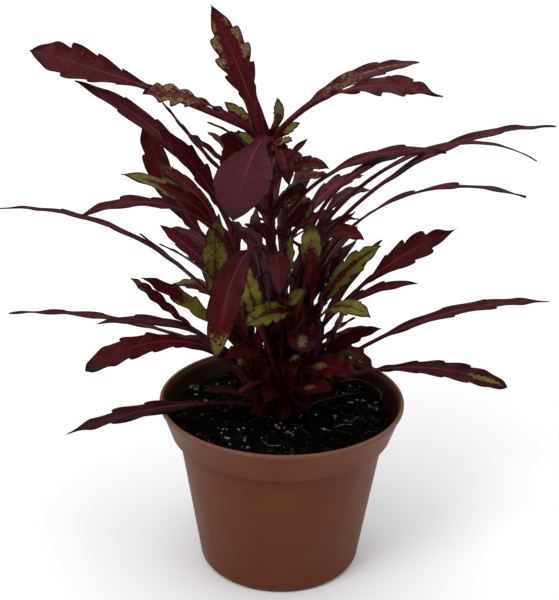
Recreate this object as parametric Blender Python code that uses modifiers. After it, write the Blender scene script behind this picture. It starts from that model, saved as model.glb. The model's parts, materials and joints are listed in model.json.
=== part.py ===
"""Potted coleus: four leafy stems of narrow, lobed leaves, standing in soil in a round plastic pot.

Metres, +Z up. The origin is the centre of the pot's flat base, and the side that faces -Y is the front.
Angles are in degrees. A heading is measured round from +X towards +Y, and a rise upwards from the level.
"""

import math
import random

import bmesh
import bpy
import numpy as np

MM = 0.001
GAP = 0.3 * MM  # clearance between pieces that rest on each other

# Pot: an ordinary 11 cm nursery pot
POT_HEIGHT = 80 * MM
RIM_RADIUS = 55 * MM
BAND_BOTTOM_RADIUS = 50 * MM
BAND_BOTTOM_HEIGHT = 65 * MM
BODY_TOP_RADIUS = 46.7 * MM
BASE_RADIUS = 36.5 * MM
BASE_CORNER = 3 * MM
CORNER_SHARE = 0.3  # of the corner, left inside its middle point
WALL = 1.5 * MM
FLOOR = 2 * MM
LIP_HEIGHT = 1.6 * MM
LIP_PROUD = 0.7 * MM
LIP_ROUND = 0.3 * MM
BAND_ROUND = 0.3 * MM
CREASE_ANGLE = 35  # an edge that folds by more than this is drawn sharp
POT_SIDES = 40
DRAIN_HOLES = 6
DRAIN_HOLE_RADIUS = 3.5 * MM
DRAIN_RING_RADIUS = 25 * MM
DRAIN_SIDES = 10

# Soil
SOIL_EDGE_HEIGHT = 70.5 * MM
SOIL_MOUND = 1.5 * MM
SOIL_LUMP = 0.7 * MM
SOIL_SIDES = 32
SOIL_RINGS = 8
CROSSED_WAVES = (310, 270)  # radians a metre along X and Y
CROSSED_SHIFTS = (1.3, 0.4)
SLANTED_WAVE = (520, -430)
SLANTED_SHARE = 0.6  # of the crossed waves' height

# Stems: (foot x, y in mm, heading, rise, bend, length in mm). Each is square and bends over by its bend.
STEM_FOOT_HEIGHT = 66 * MM
STEM_DEPTH = 16 * MM  # how far each goes on below its foot
STEM_BASE_RADIUS = 3.6 * MM  # centre to corner
STEM_TOP_RADIUS = 1.6 * MM
STEM_POINTS = 9
HOLE_SIDES = 12
WELD_DISTANCE = 0.01 * MM
STEMS = {
    "main": (1, -2, 167, 84, -4, 134),
    "left": (-8, -2, 180, 76, -12, 94),
    "right": (9, 2, 66, 82, -8, 95),
    "back": (-1, 10, 87, 75, -12, 98),
}

# Leaf forms: stalk's share of the length, how the blade swells from its base and narrows to its tip,
# lobes on each side, and the depth of the notches between them and the width of the stalk's wings, both as
# shares of the leaf's width
FORMS = {
    "strap": (0.30, 0.8, 0.9, 3, 0.14, 0.0),
    "paddle": (0.38, 2.2, 1.0, 4, 0.24, 0.2),
    "oar": (0.34, 1.1, 0.55, 4, 0.14, 0.0),
    "dart": (0.38, 2.2, 1.7, 4, 0.26, 0.0),
    "lance": (0.28, 1.2, 1.3, 4, 0.26, 0.38),
    "spear": (0.25, 1.1, 1.0, 4, 0.22, 0.0),
    "shield": (0.15, 1.1, 0.5, 5, 0.08, 0.0),
    "kite": (0.12, 1.3, 1.0, 5, 0.06, 0.2),
    "sprig": (0.20, 1.0, 1.0, 2, 0.20, 0.0),
    "stub": (1.0, 1.0, 1.0, 0, 0.0, 0.0),
}
LOBES_FROM = 0.20  # where the first lobe of a blade starts and the last ends, as shares of the blade
LOBES_TO = 0.90
LOBE_PEAK = 0.75  # how far along a lobe its widest point is
TIP_SHARE = 0.985  # the tip is cut off as wide as the blade is here
TIP_HALF_WIDTH = 0.3 * MM
STUB_POINTS = 4
STALK_HALF_WIDTH = 1.0 * MM
STALK_HALF_THICKNESS = 0.85 * MM
BLADE_HALF_THICKNESS = 0.4 * MM

# Leaves: (form, height up the stem as a share, heading, rise, bend, length mm, width mm, roll)
LEAVES = {
    "main": [
        # the crown: the top leaf, the long pair to the left and right, and the plum one that hangs forwards
        ("lance", 0.97, 193, 71, 6, 63, 16, -82),
        ("paddle", 1.00, 169, 22, 11, 107, 16, -55),
        ("paddle", 0.96, 207, 52, 49, 63, 12, -35),
        ("strap", 0.98, 25, 46, 48, 79, 9, 25),
        ("dart", 0.96, 326, 57, 69, 91, 11, 35),
        ("kite", 1.00, 259, 8, 48, 65, 23, -4),
        # small leaves round the crown
        ("spear", 1.00, 353, 42, -70, 18, 5, 80),
        ("spear", 1.00, 320, 60, 10, 13, 7, 40),
        ("spear", 0.93, 165, 66, 32, 30, 7, -60),
        ("spear", 0.98, 323, 39, 10, 20, 5, 70),
        ("spear", 0.90, 294, 65, 58, 31, 6, 40),
        # upper stem
        ("strap", 0.74, 195, 43, -12, 70, 5, -20),
        ("spear", 0.80, 220, 39, -2, 56, 7, -30),
        ("strap", 0.90, 212, 54, 31, 37, 5, -10),
        ("spear", 0.74, 155, 33, -48, 38, 12, -65),
        ("strap", 0.80, 331, 79, 94, 37, 8, 45),
        ("strap", 0.74, 310, 64, 55, 47, 7, 35),
        ("spear", 0.68, 309, 84, 75, 38, 10, 60),
        ("spear", 0.85, 41, 68, 84, 23, 8, 40),
        ("spear", 0.68, 349, 31, -20, 25, 8, 60),
        # middle and foot, towards the front
        ("oar", 0.61, 252, 46, 126, 85, 13, -12),
        ("spear", 0.34, 245, 34, -42, 58, 10, -150),
        ("spear", 0.48, 306, 36, -68, 36, 8, 85),
        ("spear", 0.46, 294, 13, -28, 37, 7, 80),
        ("spear", 0.55, 274, 61, 102, 58, 10, 0),
        ("spear", 0.60, 247, 78, 75, 38, 9, 15),
        ("spear", 0.13, 298, 30, 10, 50, 9, 35),
        ("spear", 0.17, 316, 46, 48, 50, 13, 40),
        ("spear", 0.22, 232, 55, 60, 42, 10, -30),
        ("spear", 0.12, 258, 45, 50, 34, 9, -15),
        ("stub", 0.13, 240, 50, 55, 38, 2, 0),
        ("spear", 0.16, 219, 66, 30, 44, 8, -30),
        ("spear", 0.20, 283, 56, 66, 36, 8, 15),
    ],
    "left": [
        ("strap", 0.98, 166, 64, 46, 96, 9, -35),
        ("strap", 0.93, 191, 73, 30, 62, 11, -45),
        ("spear", 0.84, 143, 17, -61, 82, 13, -70),
        ("strap", 0.76, 192, 80, 69, 74, 9, -40),
        ("strap", 0.88, 146, 59, 42, 56, 7, -30),
        ("strap", 0.85, 212, 65, 82, 85, 8, -20),
        ("strap", 0.45, 174, 61, 67, 129, 6, 0),
        ("strap", 0.50, 214, 54, 13, 74, 3.5, 0),
        ("strap", 0.64, 140, 39, 24, 56, 7, -50),
        ("strap", 0.55, 208, 66, 37, 58, 6, 0),
        ("spear", 0.42, 154, 86, 113, 53, 7, -30),
        ("paddle", 0.25, 218, 47, 3, 87, 8, -40),
        ("strap", 0.33, 202, 60, 31, 69, 9, -40),
        ("strap", 0.34, 162, 18, 30, 122, 7, 0),
        ("strap", 0.27, 195, 58, 66, 79, 7.5, -10),
        ("oar", 0.20, 218, 63, 84, 99, 10.5, -40),
        ("strap", 0.18, 159, 64, 95, 57, 8, -30),
        ("strap", 0.11, 200, 16, 32, 88, 8.5, -25),
        ("spear", 0.40, 193, 56, -46, 68, 13, -80),
        ("spear", 0.14, 238, 68, 40, 44, 8, -20),
        ("spear", 0.10, 262, 66, 60, 34, 8, 0),
    ],
    "right": [
        ("strap", 0.84, 17, 53, 58, 130, 7, 10),
        ("strap", 0.90, 26, 54, 85, 132, 6, 5),
        ("strap", 0.97, 19, 67, 75, 64, 6, 10),
        ("strap", 0.66, 336, 74, 85, 118, 6.5, 5),
        ("strap", 0.74, 306, 84, 95, 50, 8, 40),
        ("strap", 0.80, 34, 85, 108, 35, 5, 5),
        ("strap", 0.90, 50, 61, 89, 51, 7, 15),
        ("oar", 0.48, 270, 63, -8, 61, 9.5, 175),
        ("spear", 0.40, 320, 77, 43, 69, 11, 55),
        ("dart", 0.38, 8, 58, 37, 87, 13, 45),
        ("strap", 0.36, 321, 66, 52, 76, 7.5, 25),
        ("spear", 0.43, 295, 60, 62, 68, 10, 30),
        ("spear", 0.52, 240, 38, 43, 58, 11, -50),
        ("shield", 0.49, 264, 50, 104, 33, 14, 0),
        ("strap", 0.18, 11, 40, 46, 123, 7.5, 15),
        ("oar", 0.13, 342, 41, 57, 97, 8.5, 40),
        ("strap", 0.30, 39, 38, 54, 42, 4.5, 0),
        ("strap", 0.27, 8, 70, 81, 30, 5, 10),
        ("spear", 0.22, 354, 85, 145, 42, 9, 20),
        ("spear", 0.12, 301, 66, 62, 44, 9, 20),
        ("spear", 0.17, 333, 72, 52, 54, 9, 40),
    ],
    "back": [
        ("strap", 0.94, 350, 59, 66, 82, 7.5, 25),
    ],
}

# Leaves that arch back from each stem, placed by rule: their number, the headings that they spread over, and
# the limits of what is drawn at random for each
REAR_COUNTS = {"main": 4, "left": 4, "right": 4, "back": 9}
REAR_HEADINGS = {"main": (75, 125), "left": (90, 130), "right": (55, 95), "back": (55, 125)}
REAR_SEEDS = {"main": 43, "left": 1, "right": 1, "back": 1}
REAR_HEIGHTS = (0.20, 0.80)  # as shares of the stem
REAR_LENGTH = 92
SHORTER_PER_DEGREE = 0.55  # of heading away from straight back
GOLDEN_SHARE = 0.618  # spreads successive leaves evenly over the headings
REAR_DRAWS = {
    "share": (0.0, 0.1),  # of the spread of headings
    "longer": (-10, 10),
    "rise": (38, 62),
    "bend": (35, 75),
    "width": (7, 9),
    "roll": (-20, 20),
}

# Pairs of young leaves up each stem, placed by rule
YOUNG_PAIRS = {"main": 7, "left": 6, "right": 7, "back": 3}
YOUNG_SEEDS = {"main": 7, "left": 52, "right": 89, "back": 3}
YOUNG_HEIGHTS = (0.11, 0.82)  # as shares of the stem
YOUNG_HEADINGS = (15, 195)  # of the lowest pair
YOUNG_WIDTH_SHARE = 0.22  # of the length
YOUNG_DRAWS = {"turn": (-20, 20), "length": (18, 30), "rise": (45, 70), "bend": (0, 60), "roll": (-40, 40)}


def clear_scene():
    for obj in list(bpy.data.objects):
        bpy.data.objects.remove(obj)


def new_collection(name):
    collection = bpy.data.collections.new(name)
    bpy.context.scene.collection.children.link(collection)
    return collection


def material(name, color, roughness):
    made = bpy.data.materials.new(name)
    made.use_nodes = True
    shader = made.node_tree.nodes["Principled BSDF"]
    shader.inputs["Base Color"].default_value = (*color, 1.0)
    shader.inputs["Roughness"].default_value = roughness
    shader.inputs["Metallic"].default_value = 0.0
    made.diffuse_color = (*color, 1.0)
    return made


def add_object(name, mesh, collection, finish):
    obj = bpy.data.objects.new(name, mesh)
    collection.objects.link(obj)
    mesh.materials.clear()
    mesh.materials.append(finish)
    return obj


def evaluated_mesh(obj):
    """A new mesh of the object with its modifiers applied."""
    bpy.context.view_layer.update()
    graph = bpy.context.evaluated_depsgraph_get()
    return bpy.data.meshes.new_from_object(obj.evaluated_get(graph))


def turned_mesh(name, profile, sides):
    """A solid turned about Z from (radius, height) points, which run down its outer side."""
    mesh = bpy.data.meshes.new(name)
    points = [(radius, 0.0, height) for radius, height in profile]
    mesh.from_pydata(points, [(i, i + 1) for i in range(len(points) - 1)], [])
    blank = bpy.data.objects.new(name, mesh)
    bpy.context.scene.collection.objects.link(blank)
    turn = blank.modifiers.new("Turn", "SCREW")
    turn.steps = sides
    turn.render_steps = sides
    turn.use_merge_vertices = True
    turn.merge_threshold = WELD_DISTANCE
    turned = evaluated_mesh(blank)
    bpy.data.objects.remove(blank)
    turned.name = name
    return turned


def cutter(name, start, end, radius, sides, collection):
    """A round bar between two points, which cuts a hole."""
    start = np.array(start)
    end = np.array(end)
    mesh = bpy.data.meshes.new(name)
    bar = bmesh.new()
    length = float(np.linalg.norm(end - start))
    bmesh.ops.create_cone(bar, cap_ends=True, segments=sides, radius1=radius, radius2=radius, depth=length)
    bar.to_mesh(mesh)
    bar.free()
    obj = bpy.data.objects.new(name, mesh)
    collection.objects.link(obj)
    obj.location = (start + end) / 2
    heading = math.atan2(end[1] - start[1], end[0] - start[0])
    lean = math.acos((end[2] - start[2]) / length)
    obj.rotation_euler = (0.0, lean, heading)
    obj.hide_render = True
    obj.display_type = "WIRE"


def cut(obj, cutters):
    holes = obj.modifiers.new("Holes", "BOOLEAN")
    holes.operation = "DIFFERENCE"
    holes.operand_type = "COLLECTION"
    holes.collection = cutters


def make_pot(collection, cutters, finish):
    """A tapered wall under a flared band with a thin lip, and a flat base with drain holes."""
    lip_radius = RIM_RADIUS - LIP_PROUD
    slope = (BODY_TOP_RADIUS - BASE_RADIUS) / BAND_BOTTOM_HEIGHT
    corner_top = BASE_RADIUS + slope * BASE_CORNER
    profile = [
        (0.0, FLOOR),
        (BASE_RADIUS - WALL - BASE_CORNER, FLOOR),
        (corner_top - WALL, FLOOR + BASE_CORNER),
        (BODY_TOP_RADIUS - WALL, BAND_BOTTOM_HEIGHT + WALL / 2),
        (BAND_BOTTOM_RADIUS - WALL, BAND_BOTTOM_HEIGHT + WALL),
        (lip_radius - WALL, POT_HEIGHT - LIP_HEIGHT),
        (RIM_RADIUS - WALL, POT_HEIGHT - LIP_ROUND),
        (RIM_RADIUS - WALL + LIP_ROUND, POT_HEIGHT),
        (RIM_RADIUS - LIP_ROUND, POT_HEIGHT),
        (RIM_RADIUS, POT_HEIGHT - LIP_ROUND),
        (RIM_RADIUS, POT_HEIGHT - LIP_HEIGHT),
        (lip_radius, POT_HEIGHT - LIP_HEIGHT - LIP_ROUND),
        (BAND_BOTTOM_RADIUS, BAND_BOTTOM_HEIGHT + BAND_ROUND),
        (BAND_BOTTOM_RADIUS - BAND_ROUND, BAND_BOTTOM_HEIGHT),
        (BODY_TOP_RADIUS, BAND_BOTTOM_HEIGHT - BAND_ROUND),
        (corner_top, BASE_CORNER),
        (BASE_RADIUS - CORNER_SHARE * BASE_CORNER, CORNER_SHARE * BASE_CORNER),
        (BASE_RADIUS - BASE_CORNER, 0.0),
        (0.0, 0.0),
    ]
    pot = add_object("pot", turned_mesh("pot", profile, POT_SIDES), collection, finish)
    for i in range(DRAIN_HOLES):
        angle = 2 * math.pi * (i + 0.5) / DRAIN_HOLES
        x = DRAIN_RING_RADIUS * math.cos(angle)
        y = DRAIN_RING_RADIUS * math.sin(angle)
        cutter(f"drain_{i}", (x, y, -FLOOR), (x, y, 2 * FLOOR), DRAIN_HOLE_RADIUS, DRAIN_SIDES, cutters)
    cut(pot, cutters)
    pot.data.shade_smooth()
    pot.data.set_sharp_from_angle(angle=math.radians(CREASE_ANGLE))


def soil_relief(x, y):
    """Height of the soil's lumps above its mound: crossed waves multiplied, plus a slanted wave."""
    along_x = np.sin(CROSSED_WAVES[0] * x + CROSSED_SHIFTS[0])
    along_y = np.sin(CROSSED_WAVES[1] * y + CROSSED_SHIFTS[1])
    slanted = np.sin(SLANTED_WAVE[0] * x + SLANTED_WAVE[1] * y)
    return SOIL_LUMP * (along_x * along_y + SLANTED_SHARE * slanted) / (1 + SLANTED_SHARE)


def make_soil(collection, cutters, finish):
    """The soil fills the pot to the middle of its band, and its top is a low mound with lumps."""
    slope = (BODY_TOP_RADIUS - BASE_RADIUS) / BAND_BOTTOM_HEIGHT
    band_foot = BAND_BOTTOM_HEIGHT + WALL
    band_slope = (RIM_RADIUS - LIP_PROUD - BAND_BOTTOM_RADIUS) / (POT_HEIGHT - LIP_HEIGHT - band_foot)
    inset = WALL + GAP
    edge_radius = BAND_BOTTOM_RADIUS + band_slope * (SOIL_EDGE_HEIGHT - band_foot) - inset
    profile = [(edge_radius * i / SOIL_RINGS, SOIL_EDGE_HEIGHT) for i in range(SOIL_RINGS + 1)]
    profile += [
        (BAND_BOTTOM_RADIUS - inset, band_foot + GAP),
        (BODY_TOP_RADIUS - inset, band_foot - WALL / 2 + GAP),
        (BASE_RADIUS + slope * BASE_CORNER - inset, FLOOR + BASE_CORNER + GAP),
        (BASE_RADIUS - inset - BASE_CORNER, FLOOR + GAP),
        (0.0, FLOOR + GAP),
    ]
    mesh = turned_mesh("soil", profile, SOIL_SIDES)
    inner_ring = edge_radius * (1 - 0.5 / SOIL_RINGS)
    for vertex in mesh.vertices:
        radius = math.hypot(vertex.co.x, vertex.co.y)
        if vertex.co.z > SOIL_EDGE_HEIGHT - GAP and radius < inner_ring:
            mound = SOIL_MOUND * (1 - (radius / edge_radius) ** 2)
            vertex.co.z += mound + float(soil_relief(vertex.co.x, vertex.co.y))
    cut(add_object("soil", mesh, collection, finish), cutters)


def arc(start, heading, rise, bend, length, shares):
    """Points of an arc in an upright plane, whose direction turns down evenly by its bend.

    Each point lies a chord away from the start. Also gives each point's direction along the arc, the level
    direction across it, and its upward normal.
    """
    shares = np.asarray(shares, float)
    turn = math.radians(heading)
    half_bend = np.radians(bend * shares / 2)
    chord = length * shares * np.sinc(half_bend / math.pi)
    chord_rise = math.radians(rise) - half_bend
    out = chord * np.cos(chord_rise)
    points = np.stack([out * math.cos(turn), out * math.sin(turn), chord * np.sin(chord_rise)], axis=1)
    tilt = math.radians(rise) - 2 * half_bend
    level = np.zeros(len(shares))
    along = np.stack([np.cos(tilt) * math.cos(turn), np.cos(tilt) * math.sin(turn), np.sin(tilt)], axis=1)
    across = np.stack([level + math.sin(turn), level - math.cos(turn), level], axis=1)
    normal = np.stack([-np.sin(tilt) * math.cos(turn), -np.sin(tilt) * math.sin(turn), np.cos(tilt)], axis=1)
    return points + np.asarray(start), along, across, normal


def stem_arc(stem, shares):
    x, y, heading, rise, bend, length = STEMS[stem]
    start = (x * MM, y * MM, STEM_FOOT_HEIGHT)
    return arc(start, heading, rise, bend, length * MM, shares)


def blade_widths(form, blade):
    """Width at shares of the blade, as a share of its widest: it swells, and then narrows to the tip."""
    _, swell, narrow, _, _, _ = FORMS[form]
    widest = swell / (swell + narrow)
    return (blade / widest) ** swell * ((1 - blade) / (1 - widest)) ** narrow


def blade_outline(form):
    """Shares along the blade, and the width at each: a notch and a peak for each lobe, between plain ends."""
    _, _, _, lobes, notch, _ = FORMS[form]
    shares = [0.0]
    cuts = [1.0]
    for i in range(lobes):
        step = (LOBES_TO - LOBES_FROM) / lobes
        shares += [LOBES_FROM + step * i, LOBES_FROM + step * (i + LOBE_PEAK)]
        cuts += [1.0 - notch, 1.0]
    shares = np.array(shares + [LOBES_TO, 1.0])
    widths = blade_widths(form, np.minimum(shares, TIP_SHARE)) * np.array(cuts + [1.0, 1.0])
    return shares, widths


def leaf_sections(form):
    """Shares along a leaf, with its width at each: the wings' on the stalk, which a stub is all of."""
    stalk, _, _, _, _, wings = FORMS[form]
    if form == "stub":
        return np.linspace(0.0, 1.0, STUB_POINTS), np.zeros(STUB_POINTS)
    blade, widths = blade_outline(form)
    shares = np.concatenate([[0.0, stalk / 2], stalk + (1 - stalk) * blade])
    widths = np.where(blade <= LOBES_FROM, np.maximum(widths, wings), widths)
    return shares, np.concatenate([[wings, wings], widths])


def leaf_rings(stem, leaf):
    """Four corners at each cross-section of one leaf, from its root inside the stem to its tip."""
    form, at, heading, rise, bend, length, width, roll = leaf
    shares, widths = leaf_sections(form)
    root = stem_arc(stem, [at])[0][0]
    points, _, across, normal = arc(root, heading, rise, bend, length * MM, shares)
    on_stalk = shares <= FORMS[form][0]
    half_width = np.maximum(width * MM / 2 * widths, np.where(shares < 1, STALK_HALF_WIDTH, TIP_HALF_WIDTH))
    half_thickness = np.where(on_stalk, STALK_HALF_THICKNESS, BLADE_HALF_THICKNESS)
    turn = math.radians(roll)
    side = (across * math.cos(turn) - normal * math.sin(turn)) * half_width[:, None]
    thick = (normal * math.cos(turn) + across * math.sin(turn)) * half_thickness[:, None]
    corners = [-side + thick, -side - thick, side - thick, side + thick]
    return np.stack([points + corner for corner in corners], axis=1)


def ring_faces(count):
    """Triangles over rings of four corners, split alike on opposite faces, with both ends closed."""
    faces = []
    for i in range(count - 1):
        for k in range(4):
            a = 4 * i + k
            b = 4 * i + (k + 1) % 4
            if k < 2:
                faces += [(a, b + 4, b), (a, a + 4, b + 4)]
            else:
                faces += [(a, a + 4, b), (b, a + 4, b + 4)]
    end = 4 * (count - 1)
    return faces + [(0, 2, 3), (0, 1, 2), (end, end + 2, end + 1), (end, end + 3, end + 2)]


def rear_leaves(stem):
    """Arching leaves behind the plant: the straighter back one points, the longer it is."""
    draw = random.Random(REAR_SEEDS[stem])
    lowest, highest = REAR_HEIGHTS
    first, last = REAR_HEADINGS[stem]
    count = REAR_COUNTS[stem]
    leaves = []
    for i in range(count):
        at = lowest + (highest - lowest) * (i + 0.5) / count
        share = (i * GOLDEN_SHARE + draw.uniform(*REAR_DRAWS["share"])) % 1.0
        heading = first + (last - first) * share
        length = REAR_LENGTH - SHORTER_PER_DEGREE * abs(heading - 90) + draw.uniform(*REAR_DRAWS["longer"])
        rise = draw.uniform(*REAR_DRAWS["rise"])
        bend = draw.uniform(*REAR_DRAWS["bend"])
        width = draw.uniform(*REAR_DRAWS["width"])
        roll = draw.uniform(*REAR_DRAWS["roll"])
        leaves.append(("strap", at, heading, rise, bend, length, width, roll))
    return leaves


def young_leaves(stem):
    """Pairs of small leaves up the stem, each pair turned a quarter from the last."""
    draw = random.Random(YOUNG_SEEDS[stem])
    lowest, highest = YOUNG_HEIGHTS
    pairs = YOUNG_PAIRS[stem]
    leaves = []
    for pair in range(pairs):
        at = lowest + (highest - lowest) * pair / (pairs - 1)
        for side in YOUNG_HEADINGS:
            heading = side + 90 * pair + draw.uniform(*YOUNG_DRAWS["turn"])
            length = draw.uniform(*YOUNG_DRAWS["length"])
            rise = draw.uniform(*YOUNG_DRAWS["rise"])
            bend = draw.uniform(*YOUNG_DRAWS["bend"])
            roll = draw.uniform(*YOUNG_DRAWS["roll"])
            leaves.append(("sprig", at, heading, rise, bend, length, YOUNG_WIDTH_SHARE * length, roll))
    return leaves


def bare_stem(stem):
    """A mesh of one square, tapering stem, from below the soil to its top."""
    shares = np.linspace(0.0, 1.0, STEM_POINTS)
    points, along, _, _ = stem_arc(stem, shares)
    points = np.vstack([points[0] - along[0] * STEM_DEPTH, points])
    curve = bpy.data.curves.new(stem, "CURVE")
    curve.dimensions = "3D"
    curve.bevel_depth = STEM_BASE_RADIUS
    curve.bevel_resolution = 0
    curve.use_fill_caps = True
    spline = curve.splines.new("POLY")
    spline.points.add(len(points) - 1)
    taper = np.concatenate([[1.0], 1 - shares * (1 - STEM_TOP_RADIUS / STEM_BASE_RADIUS)])
    for point, place, size in zip(spline.points, points, taper):
        point.co = (*place, 1.0)
        point.radius = size
    guide = bpy.data.objects.new(stem, curve)
    bpy.context.scene.collection.objects.link(guide)
    mesh = evaluated_mesh(guide)
    bpy.data.objects.remove(guide)
    welded = bmesh.new()
    welded.from_mesh(mesh)
    bmesh.ops.remove_doubles(welded, verts=welded.verts, dist=WELD_DISTANCE)
    bmesh.ops.recalc_face_normals(welded, faces=welded.faces)
    welded.to_mesh(mesh)
    welded.free()
    return mesh


def keep_largest_surface(mesh):
    """Drops loose scraps and the walls of sealed hollows, which share no vertex with the main surface."""
    body = bmesh.new()
    body.from_mesh(mesh)
    unseen = set(body.verts)
    surfaces = []
    while unseen:
        reached = [unseen.pop()]
        for vertex in reached:
            beside = {edge.other_vert(vertex) for edge in vertex.link_edges} & unseen
            unseen -= beside
            reached += beside
        surfaces.append(reached)
    surfaces.sort(key=len)
    for scrap in surfaces[:-1]:
        bmesh.ops.delete(body, geom=scrap, context="VERTS")
    body.to_mesh(mesh)
    body.free()


def fuse(obj, pieces):
    """Joins a collection's shapes to the object, and then removes them."""
    join = obj.modifiers.new("Join", "BOOLEAN")
    join.operation = "UNION"
    join.operand_type = "COLLECTION"
    join.collection = pieces
    joined = evaluated_mesh(obj)
    keep_largest_surface(joined)
    obj.modifiers.clear()
    obj.data = joined
    for piece in list(pieces.objects):
        bpy.data.objects.remove(piece)
    bpy.data.collections.remove(pieces)


def make_leafy_stem(stem, collection, finish):
    """One stem, with every leaf that grows from it fused on."""
    obj = add_object(f"stem_{stem}", bare_stem(stem), collection, finish)
    leaves = new_collection(f"leaves_{stem}")
    for i, leaf in enumerate(LEAVES[stem] + rear_leaves(stem) + young_leaves(stem)):
        rings = leaf_rings(stem, leaf)
        blade = bpy.data.meshes.new(f"leaf_{stem}_{i}")
        blade.from_pydata(rings.reshape(-1, 3).tolist(), [], ring_faces(len(rings)))
        add_object(blade.name, blade, leaves, finish)
    fuse(obj, leaves)


def stem_hole(stem, cutters):
    """A plain hole in the soil round the buried foot of one stem."""
    points, along, _, _ = stem_arc(stem, [0.0])
    bottom = points[0] - along[0] * (STEM_DEPTH + GAP)
    top = points[0] + along[0] * STEM_DEPTH
    cutter(f"hole_{stem}", bottom, top, STEM_BASE_RADIUS + GAP, HOLE_SIDES, cutters)


def main():
    clear_scene()
    parts = new_collection("potted_coleus")
    drain_cutters = new_collection("drain_cutters")
    stem_cutters = new_collection("stem_cutters")
    terracotta = material("terracotta_plastic", (0.20, 0.055, 0.028), 0.45)
    dark_soil = material("potting_soil", (0.012, 0.009, 0.007), 0.95)
    burgundy = material("burgundy_leaf", (0.075, 0.008, 0.018), 0.5)
    make_pot(parts, drain_cutters, terracotta)
    for stem in STEMS:
        stem_hole(stem, stem_cutters)
    make_soil(parts, stem_cutters, dark_soil)
    for stem in STEMS:
        make_leafy_stem(stem, parts, burgundy)


main()
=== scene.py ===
import json
import math
import random

import bpy
import numpy as np
from mathutils import Matrix, Vector

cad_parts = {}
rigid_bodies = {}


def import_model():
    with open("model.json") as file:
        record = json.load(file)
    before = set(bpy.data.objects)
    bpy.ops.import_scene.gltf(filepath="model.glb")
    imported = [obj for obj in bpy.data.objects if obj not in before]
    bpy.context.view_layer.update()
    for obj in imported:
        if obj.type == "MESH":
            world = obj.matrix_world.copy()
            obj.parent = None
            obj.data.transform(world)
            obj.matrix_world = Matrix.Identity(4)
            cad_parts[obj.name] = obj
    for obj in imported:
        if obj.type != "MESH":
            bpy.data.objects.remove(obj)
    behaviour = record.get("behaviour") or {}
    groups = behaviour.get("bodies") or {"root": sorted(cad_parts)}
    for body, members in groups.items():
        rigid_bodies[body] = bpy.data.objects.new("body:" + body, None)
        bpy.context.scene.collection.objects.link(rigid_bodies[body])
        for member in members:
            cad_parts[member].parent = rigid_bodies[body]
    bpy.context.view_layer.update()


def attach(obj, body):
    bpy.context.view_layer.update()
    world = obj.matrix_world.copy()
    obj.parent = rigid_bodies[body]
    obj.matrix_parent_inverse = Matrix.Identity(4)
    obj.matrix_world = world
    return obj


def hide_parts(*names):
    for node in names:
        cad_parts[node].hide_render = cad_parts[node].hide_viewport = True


# Potted coleus: the looks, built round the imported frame. Metres, +Z up, the front faces -Y.
# Angles are in degrees; a heading turns from +X towards +Y, and a rise goes up from the level.

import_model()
mm = 0.001


# Small helpers for numbers

def smoothStep(value):
    # 0 up to 0, 1 from 1 on, and an even S between them
    held = np.clip(value, 0.0, 1.0)
    return held * held * (3 - 2 * held)


def unitNoise(column, row, seed):
    # A repeatable number from 0 to 1 for each whole-numbered cell: the fraction of a large sine
    return np.mod(np.sin(column * 127.1 + row * 311.7 + seed * 74.7) * 43758.5453, 1.0)


def fullTurn(count):
    return np.linspace(0, 2 * math.pi, count, endpoint=False)


def drawn(draw, limits, *names):
    # One number between each named pair of limits, drawn in that order
    return [draw.uniform(*limits[name]) for name in names]


# Small helpers for surfaces: each is a dictionary of points, four- and three-sided faces, and point values

def loftedTube(rings, values=None):
    # Rings of points along a path, joined by four-sided faces and closed at both ends by a middle point.
    # Each ring turns from the path's up side towards its right, so the faces point outwards.
    count, around = rings.shape[:2]
    here = np.arange(around)
    after = (here + 1) % around
    first = np.arange(count - 1)[:, None] * around
    second = first + around
    last, start, end = (count - 1) * around, count * around, count * around + 1
    quads = np.stack([first + here, first + after, second + after, second + here], axis=-1)
    startFan = np.stack([0 * here + start, after, here], axis=-1)
    endFan = np.stack([0 * here + end, last + here, last + after], axis=-1)
    points = np.vstack([rings.reshape(-1, 3), rings[0].mean(axis=0), rings[-1].mean(axis=0)])
    pointValues = {}
    for name, grid in (values or {}).items():
        grid = np.broadcast_to(grid, (count, around))
        pointValues[name] = np.concatenate([grid.ravel(), [grid[0].mean(), grid[-1].mean()]])
    fans = np.vstack([startFan, endFan])
    return {"points": points, "quads": quads.reshape(-1, 4), "fans": fans, "values": pointValues}


def turnedRings(radii, heights, angles):
    # Level rings round Z, each with its radius and its height
    x, y = radii[:, None] * np.cos(angles), radii[:, None] * np.sin(angles)
    return np.stack([x, y, np.broadcast_to(heights[:, None], x.shape)], axis=-1)


def ringsAlong(path, up, right, turn, radius):
    # A ring round each point of a path: every angle leads from the up side towards the right, at its radius
    ring = up[:, None, :] * np.cos(turn)[None, :, None] + right[:, None, :] * np.sin(turn)[None, :, None]
    return path[:, None, :] + ring * radius[..., None]


def joinSurfaces(surfaces):
    # One surface of several: the points follow each other, and the faces count on from there
    starts = np.cumsum([0] + [len(part["points"]) for part in surfaces[:-1]])
    joined = {"points": np.vstack([part["points"] for part in surfaces]), "values": {}}
    for kind in ("quads", "fans"):
        joined[kind] = np.vstack([part[kind] + start for part, start in zip(surfaces, starts)])
    for name in sorted({name for part in surfaces for name in part["values"]}):
        parts = [part["values"].get(name, np.zeros(len(part["points"]))) for part in surfaces]
        joined["values"][name] = np.concatenate(parts)
    return joined


def addObject(name, data):
    made = bpy.data.objects.new(name, data)
    bpy.context.scene.collection.objects.link(made)
    return made


def meshOf(name, surface):
    mesh = bpy.data.meshes.new(name)
    faces = surface["quads"].tolist() + surface["fans"].tolist()
    mesh.from_pydata(surface["points"].tolist(), [], faces)
    return mesh


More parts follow.
